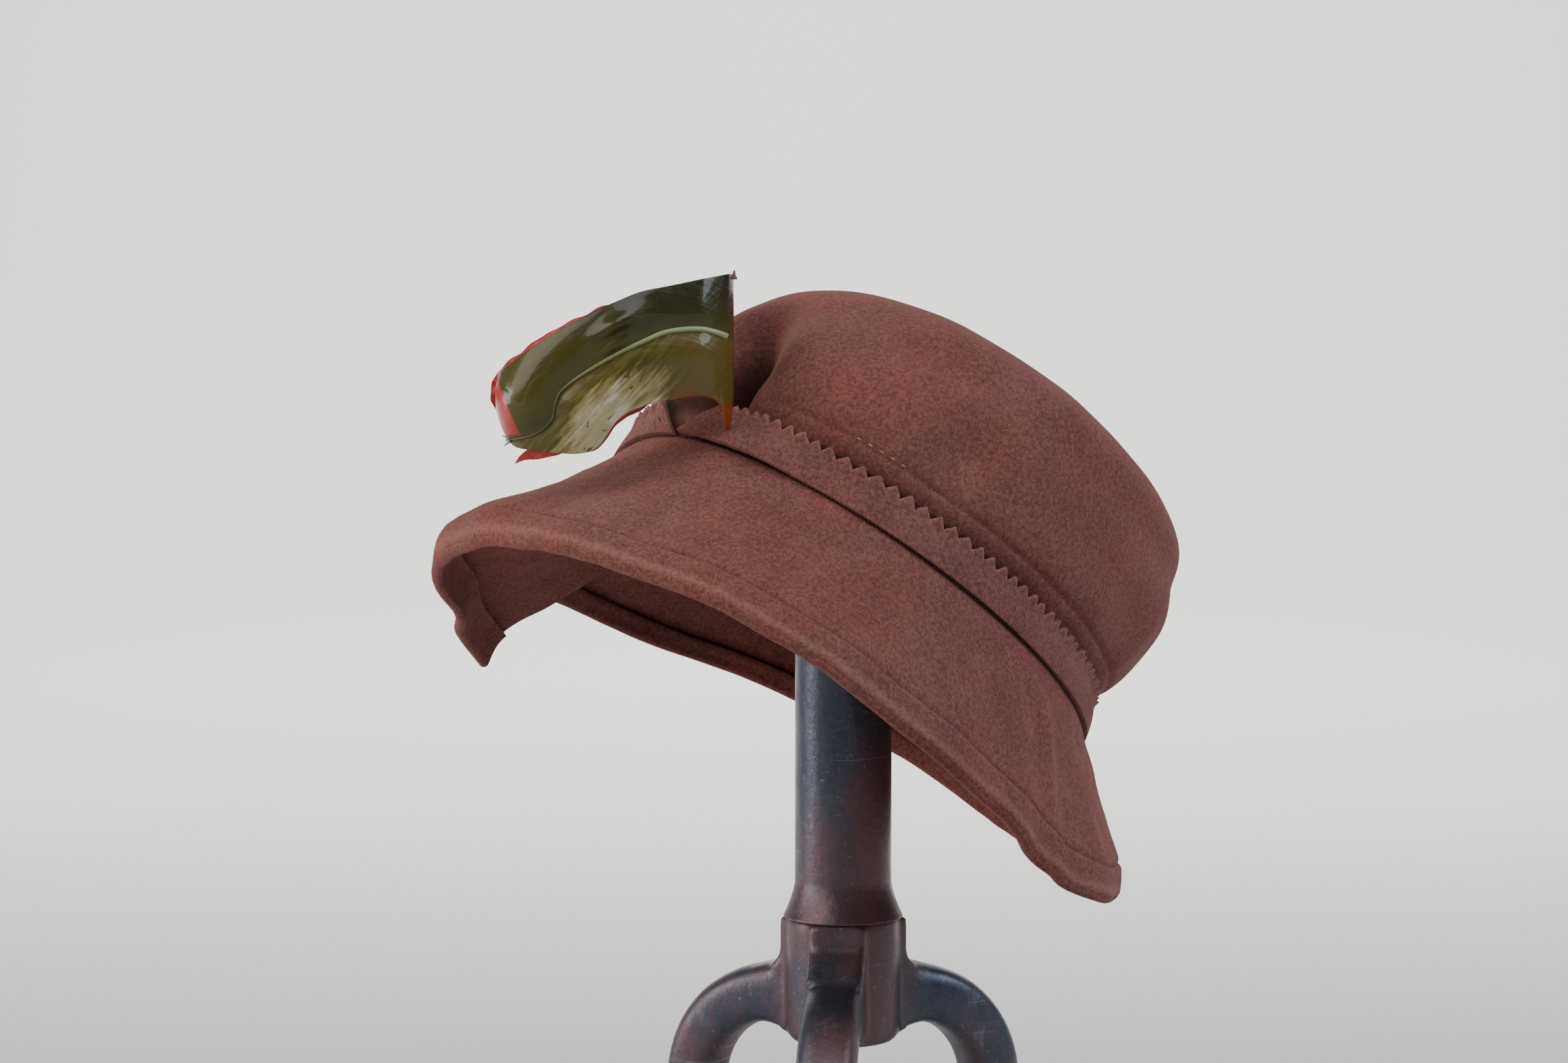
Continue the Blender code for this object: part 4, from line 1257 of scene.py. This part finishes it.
@dataclass
class Stand:
    """The cast-iron stand: a round post on a collar with ribs and three curved legs."""

    form: HatForm
    iron: bpy.types.Material
    post_radius: float = 0.0158
    bell_radius: float = 0.0196
    bell_height: float = 0.0120
    bell_round: float = 0.0004
    collar_radius: float = 0.0186
    collar_bottom: float = 0.0645
    collar_top: float = 0.1060
    collar_rim: float = 0.0007
    rib_width: float = 0.0186
    rib_reach: float = 0.0194
    gusset_front: float = 0.0135
    gusset_side: float = 0.0055
    leg_angles: tuple[float, ...] = (-7.0, 118.0, 240.0)
    leg_depth: float = 0.0198
    leg_width: float = 0.0192
    leg_taper: float = 0.84
    leg_drop: float = 0.0178
    leg_bend: float = 0.0330
    leg_reach: float = 0.0560
    leg_flare: float = 0.34
    grain: float = 0.0008

    def turned(self, name: str, profile: list[tuple[float, float]], steps: int) -> bpy.types.Object:
        """Spin a profile round the post's axis.

        Args:
            name: The piece's name.
            profile: Pairs of distance from the axis and height, from axis to axis.
            steps: Faces round it.

        Returns:
            A closed piece.
        """
        Shop.clear()
        bpy.ops.mesh.primitive_circle_add(vertices=len(profile), radius=1.0, fill_type="NOTHING")
        piece = bpy.context.object
        piece.name = piece.data.name = name
        Shop.edit(piece)
        bpy.ops.mesh.delete(type="EDGE_FACE")
        bpy.ops.object.mode_set(mode="OBJECT")
        Shop.put(piece, np.array([(reach, 0.0, height) for reach, height in profile]))
        piece.data.edges.add(len(profile) - 1)
        piece.data.edges.foreach_set("vertices", np.stack([np.arange(len(profile) - 1),
                                                           np.arange(1, len(profile))], -1).ravel())
        piece.data.update()
        Shop.edit(piece)
        bpy.ops.mesh.spin(steps=steps, angle=2.0 * pi, center=(0.0, 0.0, 0.0), axis=(0.0, 0.0, 1.0),
                          use_auto_merge=True)
        bpy.ops.mesh.select_all(action="SELECT")
        bpy.ops.mesh.remove_doubles(threshold=1e-6)
        bpy.ops.mesh.normals_make_consistent(inside=False)
        bpy.ops.object.mode_set(mode="OBJECT")
        piece.location = (self.form.stand_x, self.form.stand_y, 0.0)
        return piece

    def post(self) -> bpy.types.Object:
        """The post with its bell foot and domed end."""
        foot, top = self.collar_top - 2.0 * CLEARANCE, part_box("stand_post")[1].z
        profile = [(0.0, foot), (self.bell_radius - self.bell_round, foot)]
        for step in range(1, 7):
            turn = 0.5 * pi * step / 6
            profile.append((self.bell_radius - self.bell_round * (1.0 - sin(turn)),
                            foot + self.bell_round * (1.0 - cos(turn))))
        for step in range(1, 25):
            share = step / 24
            ease = (1.0 - share) ** 1.55
            profile.append((self.post_radius + (self.bell_radius - self.post_radius) * ease,
                            foot + self.bell_round + self.bell_height * share))
        start, end = profile[-1][1], top - self.post_radius
        profile += [(self.post_radius, start + (end - start) * step / 60) for step in range(1, 60)]
        profile += [(self.post_radius * cos(0.5 * pi * step / 16), end + self.post_radius * sin(0.5 * pi * step / 16))
                    for step in range(17)]
        piece = self.turned("iron_post", profile, 120)
        return Shop.finish(piece, self.iron, "patinated_iron", "stand_post")

    def leg(self, angle: float) -> bpy.types.Object:
        """One curved leg, a bar with rounded edges.

        Args:
            angle: Degrees round the post, from -Y.

        Returns:
            A closed bar.
        """
        sides, steps = 32, 80
        piece = Shop.grid("leg", sides, steps)
        across, along = Shop.shares(piece)
        start = 0.6 * self.collar_radius
        level = self.collar_top - self.leg_drop - 0.5 * self.leg_depth
        straight, bend = self.leg_reach - self.leg_bend - start, 0.5 * pi * self.leg_bend
        way = along * (straight + bend + level - self.leg_bend)
        slope = np.clip((way - straight) / self.leg_bend, 0.0, 0.5 * pi)
        reach = start + np.minimum(way, straight) + self.leg_bend * np.sin(slope)
        height = level - self.leg_bend * (1.0 - np.cos(slope)) - np.maximum(way - straight - bend, 0.0)
        flare = 1.0 + self.leg_flare * np.clip(1.0 - along * 6.0, 0.0, 1.0)
        deep = 0.5 * self.leg_depth * (1.0 + (self.leg_taper - 1.0) * along) * flare
        wide = 0.5 * self.leg_width
        turn = 2.0 * pi * across
        side = wide * np.sign(np.cos(turn)) * np.abs(np.cos(turn)) ** 0.6
        up = deep * np.sign(np.sin(turn)) * np.abs(np.sin(turn)) ** 0.6
        out = reach + up * np.sin(slope)
        yaw = radians(angle)
        Shop.put(piece, np.stack([side * cos(yaw) + out * sin(yaw) + self.form.stand_x,
                                  side * sin(yaw) - out * cos(yaw) + self.form.stand_y,
                                  height + up * np.cos(slope)], -1))
        Shop.merge(piece)
        Shop.edit(piece)
        bpy.ops.mesh.select_mode(type="EDGE")
        bpy.ops.mesh.select_all(action="DESELECT")
        bpy.ops.mesh.select_non_manifold()
        bpy.ops.mesh.fill()
        bpy.ops.mesh.select_all(action="SELECT")
        bpy.ops.mesh.normals_make_consistent(inside=False)
        bpy.ops.object.mode_set(mode="OBJECT")
        return piece

    def rib(self, angle: float) -> bpy.types.Object:
        """The flat rib that runs up the collar over a leg."""
        low, high = self.collar_bottom + 3.0 * self.collar_rim, self.collar_top - self.collar_rim
        yaw = radians(angle)
        Shop.clear()
        bpy.ops.mesh.primitive_cube_add(size=1.0, rotation=(0.0, 0.0, yaw), location=(
            self.form.stand_x + 0.5 * self.rib_reach * sin(yaw), self.form.stand_y - 0.5 * self.rib_reach * cos(yaw),
            0.5 * (low + high)))
        piece = bpy.context.object
        piece.scale = (self.rib_width, self.rib_reach, high - low)
        Shop.apply(piece)
        Shop.edit(piece)
        bpy.ops.mesh.bevel(offset=self.collar_rim, segments=3, affect="EDGES")
        bpy.ops.object.mode_set(mode="OBJECT")
        return piece

    def gusset(self, angle: float) -> bpy.types.Object:
        """The sloped corner between a rib and its leg, larger over the front leg."""
        yaw, size = radians(angle), self.gusset_front if abs(angle) < 45.0 else self.gusset_side
        Shop.clear()
        bpy.ops.mesh.primitive_cube_add(size=1.0, rotation=(radians(45.0), 0.0, yaw), location=(
            self.form.stand_x + self.rib_reach * sin(yaw), self.form.stand_y - self.rib_reach * cos(yaw),
            self.collar_top - self.leg_drop))
        piece = bpy.context.object
        piece.scale = (self.rib_width, size, size)
        Shop.apply(piece)
        return piece

    def base(self) -> bpy.types.Object:
        """The collar, its ribs and its legs, cast in one piece with soft corners."""
        rim = self.collar_rim
        profile = [(0.0, self.collar_bottom), (self.collar_radius - 3.0 * rim, self.collar_bottom),
                   (self.collar_radius, self.collar_bottom + 4.0 * rim), (self.collar_radius, self.collar_top - rim),
                   (self.collar_radius - 0.3 * rim, self.collar_top - 0.3 * rim),
                   (self.collar_radius - rim, self.collar_top), (0.0, self.collar_top)]
        piece = self.turned("iron_base", profile, 96)
        Shop.apply(piece)
        parts = [make(angle) for angle in self.leg_angles for make in (self.leg, self.rib, self.gusset)]
        for part in parts:
            join = piece.modifiers.new("Cast", "BOOLEAN")
            join.operation, join.object = "UNION", part
        skin = piece.modifiers.new("Skin", "REMESH")
        skin.mode, skin.voxel_size, skin.use_smooth_shade = "VOXEL", self.grain, True
        soft = piece.modifiers.new("Soft", "SMOOTH")
        soft.factor, soft.iterations = 0.5, 34
        Shop.apply(piece)
        for part in parts:
            bpy.data.objects.remove(part)
        return Shop.finish(piece, self.iron, "patinated_iron", "stand_base", sharp=80.0)


# Stage

@dataclass
class Stage:
    """Plain floor and backdrop, soft light, and the camera at the photograph's viewpoint."""

    form: HatForm
    width: int = 2324
    height: int = 1576
    pixel: float = 0.00022
    distance: float = 1.2
    post_pixel: float = 1250.2
    eye: float = 0.232
    pitch: float = 4.0

    def sweep(self) -> None:
        """The floor, which curves up into the backdrop."""
        Shop.clear()
        bpy.ops.mesh.primitive_plane_add(size=8.0, location=(0.0, 0.0, 0.0))
        floor = bpy.context.object
        floor.name = floor.data.name = "stage_floor"
        Shop.edit(floor)
        bpy.ops.mesh.select_mode(type="EDGE")
        bpy.ops.mesh.select_all(action="DESELECT")
        bpy.ops.object.mode_set(mode="OBJECT")
        for edge in floor.data.edges:
            edge.select = all(floor.data.vertices[v].co.y > 3.0 for v in edge.vertices)
        bpy.ops.object.mode_set(mode="EDIT")
        bpy.ops.mesh.extrude_region_move(TRANSFORM_OT_translate={"value": (0.0, 0.0, 5.0)})
        bpy.ops.mesh.select_all(action="DESELECT")
        bpy.ops.object.mode_set(mode="OBJECT")
        for edge in floor.data.edges:
            edge.select = all(floor.data.vertices[v].co.y > 3.0 and floor.data.vertices[v].co.z < 0.1
                              for v in edge.vertices)
        bpy.ops.object.mode_set(mode="EDIT")
        bpy.ops.mesh.bevel(offset=1.6, segments=24, affect="EDGES")
        bpy.ops.object.mode_set(mode="OBJECT")
        bpy.ops.object.shade_smooth()
        n = Nodes("pale stage")
        n.set(Base_Color=(0.50, 0.495, 0.485, 1.0), Roughness=0.9, Specular_IOR_Level=0.1)
        floor.data.materials.append(n.material)

    def light(self, name: str, at: tuple[float, float, float], size: float, power: float,
              colour: tuple[float, float, float], towards: tuple[float, float, float] = (0.0, 0.0, 0.2)) -> None:
        """A soft square light.

        Args:
            name: Its name.
            at: Where it hangs.
            size: The length of its sides.
            power: Its power in watts.
            colour: Its colour.
            towards: What it looks at.
        """
        Shop.clear()
        bpy.ops.object.light_add(type="AREA", location=at)
        lamp = bpy.context.object
        lamp.name = name
        lamp.data.size, lamp.data.energy, lamp.data.color = size, power, colour
        lamp.rotation_euler = (Vector(towards) - Vector(at)).to_track_quat("-Z", "Y").to_euler()

    def build(self) -> None:
        """Set the stage."""
        self.sweep()
        self.light("window", (-1.75, -1.0, 1.4), 2.0, 34.0, (1.0, 0.90, 0.84))
        self.light("strip", (-1.5, -0.1, 0.22), 0.7, 9.0, (1.0, 0.99, 0.97))
        self.light("sky", (0.3, -1.2, 2.4), 1.8, 25.0, (0.88, 0.95, 1.0))
        self.light("fill", (2.0, -0.5, 1.5), 1.4, 30.0, (0.78, 0.91, 1.0))
        self.light("backdrop", (0.0, 1.3, 2.4), 2.0, 300.0, (1.0, 1.0, 1.0), (0.0, 4.0, 0.7))
        world = bpy.data.worlds.new("room")
        bpy.context.scene.world = world
        world.use_nodes = True
        world.node_tree.nodes["Background"].inputs["Color"].default_value = (0.93, 0.96, 1.0, 1.0)
        world.node_tree.nodes["Background"].inputs["Strength"].default_value = 0.15
        pitch = radians(self.pitch)
        Shop.clear()
        bpy.ops.object.camera_add(
            location=(self.form.stand_x - (self.post_pixel - 0.5 * self.width) * self.pixel,
                      self.form.stand_y - self.distance * cos(pitch), self.eye + self.distance * sin(pitch)),
            rotation=(0.5 * pi - pitch, 0.0, 0.0))
        camera = bpy.context.object
        camera.data.sensor_width = 36.0
        camera.data.lens = self.distance / self.pixel / self.width * camera.data.sensor_width
        bpy.context.scene.camera = camera


def plain_gloss(name: str, colour: tuple[float, float, float], rough: float, grain: float) -> bpy.types.Material:
    """A finish for small pieces: a slightly uneven colour with a fine grain.

    Args:
        name: The material's name.
        colour: Its colour.
        rough: Its roughness.
        grain: Waves in a metre of its grain.

    Returns:
        The material.
    """
    n = Nodes(name)
    cloud = n.noise(grain, 3.0, 0.6)
    n.link(n.ramp(cloud, ((0.35, tuple(c * 0.6 for c in colour)), (0.65, tuple(c * 1.35 for c in colour)))),
           n.shader.inputs["Base Color"])
    n.relief((cloud, 0.0002))
    n.set(Roughness=rough)
    return n.material


def main() -> None:
    """Build the hat, the leaf, the stand and the stage."""
    form = HatForm()
    felt = FeltFinish("brick felt").material()
    band_felt = FeltFinish("band felt", (0.182, 0.068, 0.060), (0.172, 0.072, 0.064)).material()
    fibre = FibreFinish("wool fibre").material()
    thread = plain_gloss("pale thread", (0.52, 0.34, 0.27), 0.6, 2000.0)
    iron = IronFinish("patinated iron").material()
    crown = Crown(form, felt)
    fuzz = Fuzz(fibre)
    fuzz.build(crown.build(), 9000, 41, "brick_felt")
    fuzz.build(Band(form, crown, band_felt).build(), 2500, 42, "band_felt")
    Piping(form, CordFinish("dark piping").material()).build()
    Stitches(form, crown, thread).build()
    front = Brim(form, felt, Side.FRONT, FRONT_DEPTH, FRONT_TABLE)
    fuzz.build(front.build(), 20000, 43, "brick_felt", HEM_EDGE)
    back = Brim(form, felt, Side.BACK, BACK_DEPTH, BACK_TABLE, hem=BACK_HEM)
    fuzz.build(back.build(), 6000, 44, "brick_felt", HEM_EDGE)
    Leaf(form, crown).build(LeafFinish("glossy leaf").material(),
                            plain_gloss("red bract", (0.42, 0.030, 0.030), 0.34, 300.0),
                            RibFinish("pale midrib").material())
    stand = Stand(form, iron)
    stand.post()
    stand.base()
    Stage(form).build()
    bpy.context.view_layer.update()


if __name__ == "__main__":
    main()
